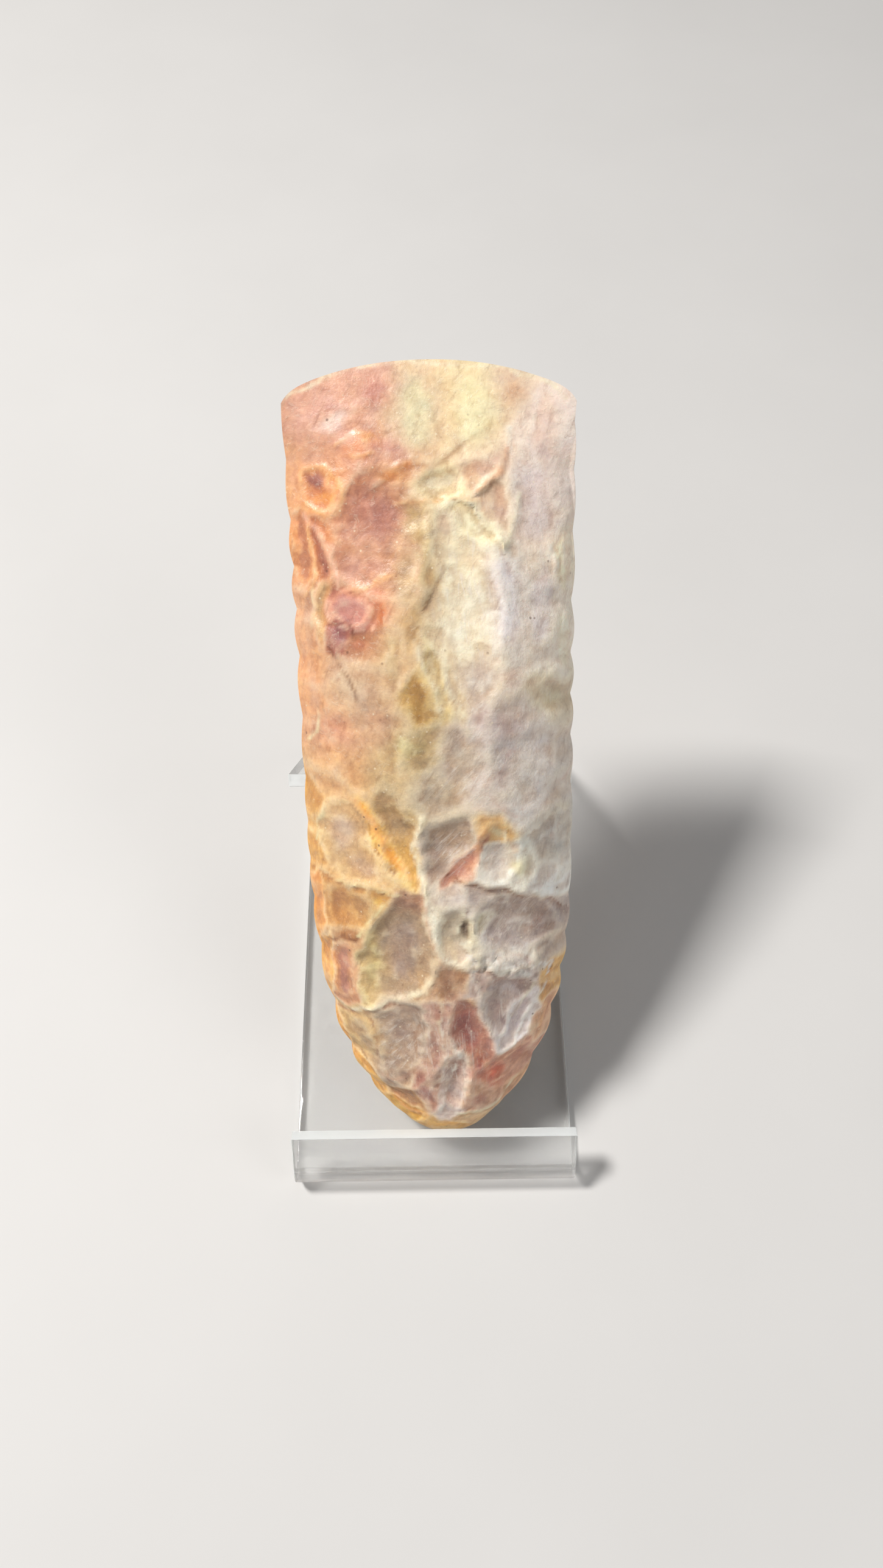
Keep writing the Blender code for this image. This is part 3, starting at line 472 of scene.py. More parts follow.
# Lines on the front: half width, height (mm, down if negative), colour, strength, points (x, along)
FRONT_LINES = (
    # Cutting edge, arch and left rim
    (0.5, 0, "pale_cream", 0.7, ((-26.6, 160.4), (-18, 163.9), (-8, 165.8), (2, 166.3), (12, 165.6),
     (20, 163.8), (27.2, 160.4))),
    (0.5, 0.45, "pale_cream", 1.15, ((3.4, 141.4), (6.5, 141.6), (9.2, 140.3), (11.9, 136.7), (14.2, 133.2))),
    (0.5, 0.3, "pale_cream", 0.8, ((18.1, 142.7), (17, 139.1), (15.3, 134.6), (14.4, 132.6))),
    (0.4, 0.22, "bright_orange", 0.6, ((-6.2, 140.8), (-1.5, 141.1), (2.5, 142.3), (6.5, 141.8),
     (10.6, 141.4))),
    (0.4, 0.16, "cream", 0.6, ((-0.8, 143.3), (2.5, 143.9), (6.5, 143.2))),
    (0.5, 0.22, "orange", 0.6, ((6.5, 142.4), (10.6, 143.4), (13.3, 145.7), (15.4, 149.5))),
    (0.5, 0.34, "bright_pink", 0.9, ((-23.6, 138.6), (-20.8, 136), (-19.1, 132.1), (-17.8, 127.6),
     (-17.4, 125.2))),
    (0.45, 0.26, "bright_orange", 0.8, ((-22.2, 137.2), (-23.1, 132.5), (-21.8, 127.2), (-24.2, 122.9))),
    (0.4, 0.14, "cream", 0.6, ((-22.9, 126), (-22.2, 121), (-23, 116))),
    (0.5, 0.25, "bright_orange", 0.8, ((-24.6, 144.4), (-23.7, 146.9), (-18.4, 146.6), (-16, 143.4),
     (-16.8, 139.8), (-19.8, 139.4), (-22.8, 140.6))),
    (0.45, 0.16, "bright_orange", 0.6, ((-17.5, 151.7), (-14.6, 153.2), (-11.4, 153.9), (-8.9, 152))),
    (0.4, 0.14, "bright_orange", 0.6, ((-14.8, 149.8), (-12.6, 149.2), (-10.1, 149.3))),
    (0.45, 0.26, "bright_pink", 1.3, ((-18.6, 118.6), (-18.9, 121.6), (-17, 124.3), (-13.8, 125),
     (-10.8, 123.2), (-9.9, 120.2), (-11, 117.6))),
    (0.4, 0.14, "bright_orange", 0.7, ((-14, 124.9), (-11.3, 125.2), (-7.1, 127.4))),
    # Marks on the blade, ribs of the middle
    (0.35, 0.12, "bright_pink", 0.8, ((-22.8, 157.8), (-22.3, 155))),
    (0.35, 0.12, "white", 0.8, ((16.1, 153.7), (16, 148.9))),
    (0.35, 0.08, "white", 0.5, ((20.6, 156.8), (19.6, 152.4))),
    (0.35, 0.14, "white", 0.8, ((24.4, 131.4), (25.3, 129.4), (26.1, 127.9), (25, 126.7))),
    (0.45, 0.24, "pale_cream", 0.8, ((-2, 113.6), (-1.3, 112), (0.2, 108.6), (1.3, 104.6), (1.6, 101.6))),
    (0.4, 0.14, "ochre", 0.6, ((-4.4, 112), (-4.8, 107), (-4.8, 103.8))),
    (0.45, 0.18, "pale_cream", 0.7, ((3.4, 113), (3.6, 109), (4.2, 105), (6.4, 100.8))),
    (0.4, 0.18, "cream", 0.8, ((-22.4, 100), (-21.9, 98), (-22.4, 95.8), (-24.4, 93.6))),
    (0.4, 0.16, "cream", 0.7, ((-5.6, 96.9), (-3.4, 95.6), (-2.2, 94))),
    # Sliver, long ridge and hook
    (0.6, 0.3, "bright_orange", 0.9, ((-15.1, 82.6), (-12.5, 78.5), (-9.4, 74.2), (-6.6, 69.8), (-4.8, 67))),
    (0.55, 0.5, "pale_cream", 1.15, ((-1.6, 80.6), (-1.8, 78.5), (-3.1, 73.5), (-2.6, 69.5), (-1.6, 66.7),
     (-0.9, 63.6), (-1.2, 61.8))),
    (0.45, 0.26, "bright_pink", 0.5, ((-2.6, 62.4), (-1, 60), (-0.5, 57), (-0.1, 53.4), (0.5, 50),
     (1.6, 47))),
    (0.6, 0.4, "bright_orange", 0.8, ((9.4, 73.2), (10.4, 75.8), (12, 77.8), (14, 77.6), (15.5, 76.2),
     (16.6, 74), (17.2, 71.8))),
    (0.45, 0.2, "pale_cream", 0.9, ((12.6, 77.2), (14.6, 76.6), (15.8, 74.4), (16.6, 71.6))),
    (0.45, 0.2, "white", 0.8, ((10.8, 72.4), (12.2, 69.8), (14.2, 68), (16.1, 66.7))),
    (0.4, 0.14, "lavender", 0.7, ((1.4, 74.8), (3.8, 73), (5.2, 70.6))),
    (0.4, 0.14, "lavender", 0.7, ((3.6, 77.2), (6, 75.2), (7.6, 73))),
    (0.45, 0.18, "cream", 0.9, ((-21.9, 79.4), (-22.6, 77.2), (-23.7, 75.1), (-24.3, 72.5))),
    # Round the oval and the right facets
    (0.45, 0.26, "cream", 0.7, ((-22.9, 65.8), (-18.2, 65), (-12.9, 65), (-10, 63.8), (-6.7, 63.3))),
    (0.45, 0.24, "yellow_cream", 0.9, ((-15.5, 53.3), (-13.1, 56.7), (-10, 60.4))),
    (0.5, 0.34, "pale_cream", 0.95, ((-17.9, 33.9), (-14.6, 35.6), (-11.4, 37), (-6.1, 39.2), (-2.4, 42),
     (0, 46))),
    (0.4, 0.2, "tan", 0.6, ((0, 46), (0.3, 50), (-0.3, 55.5), (-1.2, 58.6), (-2.6, 61.4))),
    (0.5, 0.24, "pale_cream", 0.8, ((0.8, 60.6), (2.8, 57), (4.2, 52.6), (4.6, 48.4))),
    (0.45, 0.24, "pale_cream", 0.9, ((5.6, 59.4), (7, 57.6), (8.6, 55.4), (9, 52.2))),
    (0.4, 0.14, "pale_lavender", 0.7, ((10, 64.2), (13.6, 61), (16.6, 59.6), (19.6, 57))),
    (0.4, 0.14, "pale_lavender", 0.6, ((12, 57.6), (15.2, 56.2), (18.6, 55.6), (21.4, 53.4))),
    # Butt
    (0.4, 0.18, "pale_cream", 0.7, ((1.6, 39.4), (2.2, 36.6), (1.6, 33.6), (2.4, 31.2))),
    (0.6, 0.16, "bright_orange", 0.8, ((7.4, 39.2), (8.6, 38))),
    (0.5, 0.34, "white", 0.9, ((3.2, 33.6), (4.4, 28.4), (4.6, 24.7), (3.5, 17.3), (1.1, 11))),
    (0.4, 0.24, "pale_lavender", 0.7, ((2.2, 26.4), (2.2, 22), (2.6, 17.8), (1.4, 13.4))),
    (0.5, 0.28, "pale_lavender", 0.7, ((6.6, 46.6), (8.6, 42.6), (10.4, 37.4), (11.9, 32.6), (13.4, 28.6),
     (16, 25.2))),
    (0.45, 0.24, "white", 0.8, ((25, 39.4), (22.6, 35.4), (19.4, 30.2), (16.7, 25.3))),
    (0.4, 0.2, "pale_cream", 0.7, ((21.6, 40.6), (18.8, 36.2), (16.4, 31.4))),
    (0.4, 0.2, "bright_orange", 0.6, ((25.8, 37.2), (24.6, 34), (24.4, 30.4), (23.2, 27.4))),
    (0.5, 0.22, "pale_cream", 0.8, ((4.8, 9.4), (8, 9), (11, 9), (14.6, 10.6), (18.4, 14))),
    (0.4, 0.2, "bright_pink", 0.7, ((13.8, 20.4), (17.6, 22.6), (21.4, 25.2))),
    (0.4, 0.16, "bright_pink", 0.6, ((12.8, 16.4), (16, 16.2), (19.4, 18))),
    (0.5, 0.26, "bright_orange", 0.9, ((-20.6, 24.4), (-17.4, 20), (-13.4, 14.8), (-9.6, 11.2), (-5.8, 9),
     (-1.4, 8))),
    (0.4, -0.2, "dark_brown", 0.5, ((-16.4, 21.4), (-12.6, 17.6), (-9, 14), (-4.6, 11.6))),
    (0.4, 0.22, "bright_orange", 0.9, ((-20.6, 49), (-20.6, 43.4), (-21, 36))),
    # Grooves and cracks, drawn dark; at the nodule's foot, left of the sliver and under the left rim the dark
    # is painted shadow
    # painted shade: the dark crescent at the nodule's lower left
    (0.35, -0.28, "dark_brown", 0.8, ((-19.6, 117.2), (-18.2, 118.4), (-16.6, 118.6), (-15, 117.4),
     (-14.2, 115.6))),
    (0.3, -0.12, "dark_brown", 0.6, ((-20.1, 113.3), (-17.3, 109.8), (-14.9, 105.9), (-14.3, 103.1))),
    (0.3, -0.08, "brown", 0.6, ((-22, 92.2), (-20, 92.9), (-17.4, 92.3), (-15, 90.5))),
    # painted shadow on the left of the sliver
    (0.4, -0.35, "dark_brown", 0.7, ((-15.8, 81.2), (-11.6, 74.8), (-7.8, 68.2))),
    # painted shadow under the left rim
    (0.45, -0.24, "dark_brown", 0.7, ((-22.4, 49.4), (-21.2, 49.8), (-19.2, 51.2), (-17.1, 51.4),
     (-15.8, 52.6))),
    (0.35, -0.2, "brick", 0.7, ((-21.6, 31.4), (-19.6, 32.6), (-17.8, 33.2))),
    (0.45, -0.18, "brown", 0.5, ((-14, 34.6), (-9.6, 36.6), (-5, 38.6), (-1.6, 41.6))),
    (0.4, -0.16, "brown", 0.6, ((-13.6, 32.6), (-12.6, 27), (-11.6, 21.6), (-9.4, 17.6))),
    (0.4, -0.14, "brown", 0.5, ((-2.4, 33.8), (-3.8, 28.6), (-3.2, 23.6), (-4.6, 19.4))),
)

# Steps where a flake broke off short: points, fall (mm), fade (mm), colour of the painted shade on the wall,
# strength.
# The ground drops on the right of the line, as seen while walking along it.
FRONT_STEPS = {
    "upper": (((-9.6, 143.7), (-6.8, 145.6), (-3.4, 146.9), (-0.8, 147.5), (3.9, 149.7), (6.6, 151.5)),
              0.22, 5.0, "brown", 0.4),
    "second": (((6.5, 142.0), (10.6, 143.0), (13.3, 145.5), (15.4, 149.3)), 0.25, 3.0, "brown", 0.4),
    "arch": (((6.5, 141.4), (9.2, 139.9), (11.7, 136.4), (14.0, 132.8)), 0.45, 6.0, "khaki", 0.4),
    "hollow_left": (((-0.4, 122.6), (1.7, 127.8), (1.4, 133.0), (1.1, 139.5)), 0.24, 4.0, "dark_ochre", 0.3),
    "hollow_neck": (((-1.9, 113.4), (-2.5, 117.4), (-0.4, 122.6)), 0.24, 4.0, "dark_ochre", 0.3),
    "boundary": (((5.9, 67.1), (10.2, 65.5), (15.4, 64.0), (19.2, 61.8), (24.0, 59.2), (27.4, 56.7)),
                 0.50, 6.0, "brown", 0.8),
    "facet_foot": (((-22.9, 65.4), (-18.2, 64.6), (-12.9, 64.6), (-10.0, 63.4)), 0.35, 5.0, "brown", 0.5),
    "chips": (((7.3, 46.3), (12.0, 45.8), (16.4, 43.6), (25.4, 38.8)), 0.40, 3.0, "brown", 0.4),
}

# Lumps that stand proud: x, along, half width, half length, turn, height (mm), softness
LUMPS = {
    "nodule": (-14.8, 120.4, 4.1, 3.6, 0, 0.60, 0.45),
    "nodule_rim": (-14.8, 120.9, 4.0, 3.8, 0, 0.18, 0.15),
    "lump": (-17.5, 115.8, 2.6, 2.4, 0, 0.40, 0.6),
    "patch": (-20.4, 143.2, 3.4, 3.4, 0, 0.22, 0.5),
    "orange_patch": (-12.8, 151.4, 3.8, 2.2, 14, 0.18, 0.6),
    "step_crumb": (-5.0, 147.0, 1.2, 0.7, -20, 0.25, 0.6),
    "step_crumb_low": (-2.2, 148.2, 0.9, 0.6, -20, 0.22, 0.6),
    "rim_knob": (25.6, 128.6, 0.9, 1.4, 0, 0.25, 0.6),
}

# Small spots painted over the facets: x, along, half width, half length, turn, colour, strength, softness
SPOTS = {
    "blade_spot_left": (-18.1, 158.8, 1.5, 1.3, 0, "mauve", 0.35, 0.7),
    "blade_spot_right": (-10.0, 160.0, 1.9, 2.1, 10, "brick", 0.4, 0.8),
    "pale_band": (-17.4, 156.0, 3.6, 1.5, -30, "pale_lavender", 0.55, 0.8),
    "orange_patch": (-12.8, 151.4, 4.0, 2.2, -14, "orange", 0.7, 0.6),
    "orange_patch_core": (-11.0, 152.4, 1.6, 1.3, 0, "bright_orange", 0.6, 0.7),
    "patch_mauve": (-21.2, 144.7, 1.9, 1.2, 0, "mauve", 0.85, 0.6),
    "patch_orange": (-20.2, 141.3, 2.2, 1.3, -10, "bright_orange", 0.8, 0.6),
    "red_patch": (-9.6, 120.4, 1.6, 2.6, -10, "orange", 0.45, 0.9),
    "nodule_rim": (-14.8, 120.9, 3.9, 3.7, 0, "bright_pink", 0.85, 0.16),
    "nodule": (-14.9, 120.8, 3.2, 3.0, 0, "dusty_pink", 0.9, 0.25),
    # Mauve over the nodule's lower part: painted shade on the underside of the dome
    "nodule_shaded_foot": (-15.2, 119.0, 2.2, 1.1, 0, "mauve", 0.4, 0.8),
    "lump": (-17.3, 116.2, 1.9, 1.8, 0, "mauve", 0.8, 0.5),
    "specks": (-4.2, 95.6, 2.6, 1.4, 30, "yellow_cream", 0.45, 0.9),
    "white_cream": (17.4, 68.4, 1.2, 1.5, 0, "yellow_cream", 0.6, 0.8),
    "gold_spot": (-7.8, 11.4, 1.3, 1.0, 30, "orange", 0.5, 0.7),
    "orange_trace": (11.6, 22.8, 1.1, 3.2, -14, "orange", 0.4, 0.9),
}

# Where the stone is streaked lengthwise: x, along, half width, half length (mm)
STREAKY_AREAS = ((9, 122, 7, 19), (21, 116, 8, 26), (4, 26, 9, 15), (18, 34, 6, 9))
# and where it is hatched aslant
HATCHED_AREAS = ((4, 73, 7, 7), (16, 57, 10, 7), (14, 100, 12, 7), (13, 71, 5, 5), (12, 88, 12, 7),
                 (-7, 27, 6, 8))


def linear(rgb):
    """A colour as the eye sees it, 0 to 255, as the linear light that a shader takes."""
    share = [value / 255 for value in rgb]
    return tuple(v / 12.92 if v <= 0.04045 else ((v + 0.055) / 1.055) ** 2.4 for v in share)


def swell(distance, reach, power, fullness):
    share = np.clip(distance / reach, 0.0, 1.0)
    return (1.0 - (1.0 - share) ** power) ** fullness


def smooth(low, high, value):
    share = np.clip((value - low) / (high - low), 0.0, 1.0)
    return share * share * (3.0 - 2.0 * share)


class StonePlace:
    """Where the stone lies, read from its solid: the butt tip, the length and the tilt."""

    def __init__(self, node):
        points = np.array([vert.co[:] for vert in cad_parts[node].data.vertices])
        edge = points[np.argmax(points[:, 1] + points[:, 2])]
        reach = np.hypot(points[:, 1] - edge[1], points[:, 2] - edge[2])
        tip = points[np.argmax(reach)]
        self.length = float(reach.max())
        self.tip = Vector((0.0, tip[1], tip[2]))
        tilt = math.atan2(edge[2] - tip[2], edge[1] - tip[1])
        self.matrix = Matrix.Translation(self.tip) @ Matrix.Rotation(tilt, 4, "X")


def axis_offset(along, length):
    return AXIS_START - AXIS_LEAN * along / length


def half_width(along, side):
    """Half width of the outline, with the bites of the edge flaking."""
    taper = swell(along, BUTT_REACH, BUTT_POWER, BUTT_FULLNESS)
    tip = BUTT_CHORD / 2
    width = tip + (AXE_WIDTH / 2 - tip) * taper
    phase = math.pi * along / SCALLOP_PITCH + SCALLOP_SHIFT * side
    uneven = SCALLOP_DRIFT * np.sin(SCALLOP_DRIFT_RATE * phase + side)
    rough = 1.0 + BUTT_BITES * (1.0 - swell(along, BUTT_BITES_REACH, 1.5, 1.0))
    bite = SCALLOP_DEPTH * rough * (1.0 - np.abs(np.sin(phase + uneven)))
    return width - bite * taper * (1.0 + SCALLOP_VARIATION * np.sin(SCALLOP_VARIATION_RATE * phase))


def edge_line(across, length):
    share = np.abs(across)
    return length - EDGE_DROP * share ** EDGE_CURVE - CORNER_DROP * share ** CORNER_CURVE


def plain_height(along, across, length):
    """Half thickness before flaking: a lens that closes at the sides, the edge and the butt."""
    butt = swell(along, BUTT_SWELL, SWELL_POWER, SWELL_FULLNESS)
    blade = swell(edge_line(across, length) - along, EDGE_REACH, EDGE_POWER, 1.0)
    section = (1.0 - np.abs(across) ** SECTION_POWER) ** SECTION_FULLNESS
    return AXE_THICKNESS / 2 * butt * blade * section


def oval_axes(x, along, centre_x, centre_along, turn):
    """Places measured from an oval's centre, across it and along it."""
    angle = math.radians(turn)
    off_x, off_a = x - centre_x, along - centre_along
    return (off_x * math.cos(angle) - off_a * math.sin(angle),
            off_a * math.cos(angle) + off_x * math.sin(angle))


def oval_gap(x, along, centre_x, centre_along, half_wide, half_long, turn):
    """Distance in mm outside an oval, along the line to its centre; negative inside."""
    wide, long = oval_axes(x, along, centre_x, centre_along, turn)
    reach = np.maximum(np.hypot(wide / half_wide, long / half_long), 1e-3)
    return np.hypot(wide, long) * (1.0 - 1.0 / reach)


def area_share(x, along, centre_x, centre_along, half_wide, half_long, turn, softness, ragged=0.0):
    """How much a place belongs to an oval area: 1 inside, 0 outside, with a soft border."""
    wide, long = oval_axes(x, along, centre_x, centre_along, turn)
    reach = np.hypot(wide / half_wide, long / half_long) + ragged
    return 1.0 - smooth(1.0 - softness, 1.0 + softness * 0.6, reach)


def scar_cut(along, x, centre_along, centre_x, half_long, half_wide, turn, depth, bias):
    """Depth that one shallow flake scar takes off, with a crisp border."""
    wide, long = oval_axes(x, along, centre_x, centre_along, turn)
    reach = (long / half_long) ** 2 + (wide / half_wide) ** 2
    bowl = np.clip(1.0 - reach, 0.0, 1.0)
    return depth * bowl * (1.0 + bias * np.clip(long / half_long, -1.0, 1.0))


def main_cuts(along, x, face, length):
    """What each main flake scar takes off, with x measured from the stone's middle line."""
    for centre_a, centre_x, half_long, half_wide, turn, depth, bias in FRONT_SCARS if face > 0 else BACK_SCARS:
        yield scar_cut(along, x, centre_a * length, centre_x * AXE_WIDTH / 2, half_long * length,
                       half_wide * AXE_WIDTH / 2, turn, MAIN_CUT * depth, bias)


def rim_cuts(along, x, face, length):
    """What the small flake scars take off that run along both sides, butt to below the cutting edge."""
    draw = random.Random(RIM_SCAR_SEED + face)
    step = RIM_SCARS_SPAN / RIM_SCARS_PER_SIDE
    for side in (-1, 1):
        for index in range(RIM_SCARS_PER_SIDE):
            centre_a = (RIM_SCARS_FROM + step * (index + draw.uniform(0.2, 0.8))) * length
            wear = 1.0 - RIM_SCAR_WEAR * index / RIM_SCARS_PER_SIDE
            centre_x = side * half_width(centre_a, side) * draw.uniform(0.86, 0.98)
            yield scar_cut(along, x, centre_a, centre_x,
                           RIM_SCAR_LENGTH / 2 * draw.uniform(0.8, 1.25),
                           RIM_SCAR_REACH * draw.uniform(0.75, 1.2),
                           draw.uniform(-22, 22),
                           RIM_SCAR_CUT * wear * draw.uniform(0.7, 1.3), 0.0)


def scattered_cuts(x, along, face):
    """What small scars all over a face take off, in mm; towards the ground blade they get faint."""
    draw = random.Random(SCATTER_SEED + face)
    for _ in range(SCATTERED_SCARS):
        centre_a = draw.uniform(3, 164)
        depth = draw.uniform(*SCATTER_DEPTH) * (1.0 - SCATTER_FADE * smooth(*SCATTER_FADES, centre_a))
        yield scar_cut(along, x, centre_a, draw.uniform(-28, 29), draw.uniform(*SCATTER_HALF_LONG),
                       draw.uniform(*SCATTER_HALF_WIDE), draw.uniform(-55, 55), depth, draw.uniform(-0.4, 0.4))


def deepest(cuts):
    return np.max(list(cuts), axis=0)


def curve_through(points, pieces=6):
    """A smooth line through the points, as more points."""
    ends = [points[0], *points, points[-1]]
    line = []
    for before, start, end, after in zip(ends, ends[1:], ends[2:], ends[3:]):
        for step in range(pieces):
            t = step / pieces
            line.append(tuple(0.5 * (2 * p1 + (p2 - p0) * t + (2 * p0 - 5 * p1 + 4 * p2 - p3) * t * t
                                     + (3 * p1 - p0 - 3 * p2 + p3) * t ** 3)
                              for p0, p1, p2, p3 in zip(before, start, end, after)))
    return line + [tuple(points[-1])]


def line_distance(x, along, points):
    """Distance in mm to a smooth line, and the same with a sign: positive on the line's right."""
    line = curve_through(points)
    nearest = np.full(x.shape, FAR)
    signed = np.full(x.shape, FAR)
    for (x0, a0), (x1, a1) in zip(line, line[1:]):
        dx, da = x1 - x0, a1 - a0
        share = np.clip(((x - x0) * dx + (along - a0) * da) / (dx * dx + da * da), 0.0, 1.0)
        off_x, off_a = x - x0 - share * dx, along - a0 - share * da
        distance = np.hypot(off_x, off_a)
        side = np.where(off_x * da - off_a * dx > 0, 1.0, -1.0)
        closer = distance < nearest
        nearest = np.where(closer, distance, nearest)
        signed = np.where(closer, side * distance, signed)
    return nearest, signed


def drift(flat, size, seed, octaves=2):
    """Smooth noise in -1..1 at places in mm, with features of about the given size."""
    offset = Vector((seed * 17.3, seed * 5.9, seed * 11.1))
    return np.array([noise.fractal(Vector((px / size, py / size, 0.0)) + offset, 1.0, 2.0, octaves)
                     for px, py in flat])


def mottle(flat, layers, shift=0):
    """Layers of smooth noise, each with its strength, added up."""
    return sum(strength * drift(flat, size, seed + shift, octaves) for strength, size, seed, octaves in layers)


def wobble(x, along, seed, broad=1.2, fine=0.42):
    """The same places moved a little by noise, so that no border or line is a clean curve."""
    flat = list(zip(x, along))
    return tuple(value + broad * drift(flat, 7.0, seed + way) + fine * drift(flat, 2.2, seed + way + 1)
                 for way, value in ((0, x), (2, along)))


def chips():
    """Small crystalline chips over the lower right: x, along, half width, half length, turn, depth."""
    draw = random.Random(CHIP_SEED)
    low_x, high_x, low_along, high_along = CHIP_BAND
    for _ in range(CHIP_COUNT):
        share = draw.uniform(0, 1)
        yield (low_x + (high_x - low_x) * share,
               draw.uniform(low_along, high_along) - CHIP_BAND_FALL * share,
               draw.uniform(*CHIP_HALF_WIDE), draw.uniform(*CHIP_HALF_LONG), draw.uniform(-60, 60),
               draw.uniform(*CHIP_DEPTH))


class Tiles:
    """The front's facets at places in mm: colour, depth, and how near a crisp border is."""

    def __init__(self, x, along):
        surfaces, tiles = [], []
        for facets in FACETS.values():
            gaps = [oval_gap(x, along, *facet[:5]) for facet in facets]
            surfaces.append(np.min(gaps, axis=0))
            tiles += [(facet, gap, surfaces[-1]) for facet, gap in zip(facets, gaps)]
        nearest, second = np.partition(np.stack(surfaces), 1, axis=0)[:2]
        around = [np.exp(-(gap - nearest) / WITHIN) for _, gap, _ in tiles]
        self.blend = sum(share * facet[-1] for share, (facet, _, _) in zip(around, tiles)) / sum(around)
        self.colour = np.zeros((len(x), 3))
        self.depth = np.zeros(len(x))
        total = np.zeros(len(x))
        for (_, _, half_wide, half_long, _, depth, inside, border, _), gap, own in tiles:
            share = np.exp(-(gap - own) / WITHIN - (own - nearest) / self.blend)
            deep = smooth(0.0, FACET_CORE * min(half_wide, half_long), -gap)[:, None]
            tint = np.array(linear(border)) * (1 - deep) + np.array(linear(inside)) * deep
            self.colour += share[:, None] * tint
            self.depth += share * depth
            total += share
        self.colour /= total[:, None]
        self.depth /= total
        self.border = (second - nearest) / 2
        self.crisp = np.clip(1.0 - self.blend / SOFTEST, 0.0, 1.0)

    def relief(self):
        """What the facets take off, in mm: nothing on the ridges between them, which are round if soft."""
        fall = self.border / (RIDGE_FALL * (0.6 + self.blend))
        return self.depth * (1.0 - np.exp(-fall ** (2.0 - self.crisp)))

    def ridges(self):
        return self.crisp * np.exp(-(self.border / RIDGE_WIDTH) ** 2)


def line_breaks(x, along):
    """How strongly a line shows at each place, so that it swells, thins out and breaks."""
    return LINE_LEAST + (1.0 - LINE_LEAST) * smooth(-0.3, 0.25, drift(list(zip(x, along)), 3.2, 41))


def line_shape(distance, half):
    return np.exp(-(distance / max(half, LEAST_LINE)) ** 2)


def front_relief(x, along):
    """Finer relief of the front in mm: flake scars, ridges, grooves, steps, a nodule and chips."""
    moved_x, moved_a = wobble(x, along, 1)
    relief = -Tiles(moved_x, moved_a).relief()
    broken = line_breaks(x, along)
    for half, height, _, _, points in FRONT_LINES:
        relief += height * broken * line_shape(line_distance(moved_x, moved_a, points)[0], half)
    for points, fall, fade, _, _ in FRONT_STEPS.values():
        distance, signed = line_distance(moved_x, moved_a, points)
        relief -= fall * smooth(-0.3, 0.5, signed) * np.exp(-np.maximum(signed, 0.0) / fade * STEP_FADE) \
            * (distance < 4 * fade)
    for *oval, height, softness in LUMPS.values():
        relief += height * area_share(moved_x, moved_a, *oval, softness)
    for *oval, depth in chips():
        relief -= depth * area_share(x, along, *oval, CHIP_SOFTNESS)
    return relief


def surroundings(height, reach):
    """Mean of a grid's values within reach cells, along both of its ways."""
    mean = height
    for axis in (0, 1):
        wide = np.pad(mean, [(reach, reach) if way == axis else (0, 0) for way in (0, 1)], mode="edge")
        spans = [np.take(wide, range(start, start + mean.shape[axis]), axis=axis)
                 for start in range(2 * reach + 1)]
        mean = sum(spans) / len(spans)
    return mean


def stone_sheet(face, length):
    """One face of the stone on a grid: its points in the stone's own frame, and how far each is a ridge."""
    u, v = (value.ravel() for value in np.meshgrid(np.linspace(-1, 1, CELLS_ACROSS + 1),
                                                   np.linspace(-1, 1, CELLS_ALONG + 1), indexing="ij"))
    across = np.sin(u * math.pi / 2)
    start = (v + 1.0) / 2
    share = start - CROWDING * np.sin(2 * math.pi * start)
    along = share * edge_line(across, length)
    x = across * half_width(along, np.where(across < 0, -1.0, 1.0))
    plain = plain_height(along, across, length)
    moved_x, moved_a = (value * MM for value in wobble(x / MM, along / MM, 1))
    cut = np.maximum(deepest(main_cuts(moved_a, moved_x, face, length)),
                     deepest(rim_cuts(along, x, face, length)))
    place_x = x + axis_offset(along, length)
    place_mm, along_mm = place_x / MM, along / MM
    relief = mottle(list(zip(place_mm, along_mm)), UNDULATION, face)
    relief -= deepest(scattered_cuts(*wobble(place_mm, along_mm, 61 + face), face))
    if face > 0:
        relief += front_relief(place_mm, along_mm)
    relief *= MM * smooth(0.0, RELIEF_FROM, plain)
    bare = np.maximum(plain - cut, LEAST_THICKNESS * plain)
    height = np.maximum(bare + relief, LEAST_WITH_RELIEF * plain)
    rough = (relief - cut).reshape(CELLS_ACROSS + 1, -1)
    ridge = (rough - surroundings(rough, RIDGE_REACH)) / RIDGE_HEIGHT
    closed = (np.abs(u) > RIM) | (np.abs(v) > RIM)
    points = np.stack([place_x, along, np.where(closed, 0.0, face * height)], axis=-1)
    return points.reshape(CELLS_ACROSS + 1, CELLS_ALONG + 1, 3), np.clip(ridge, -1.0, 1.0)


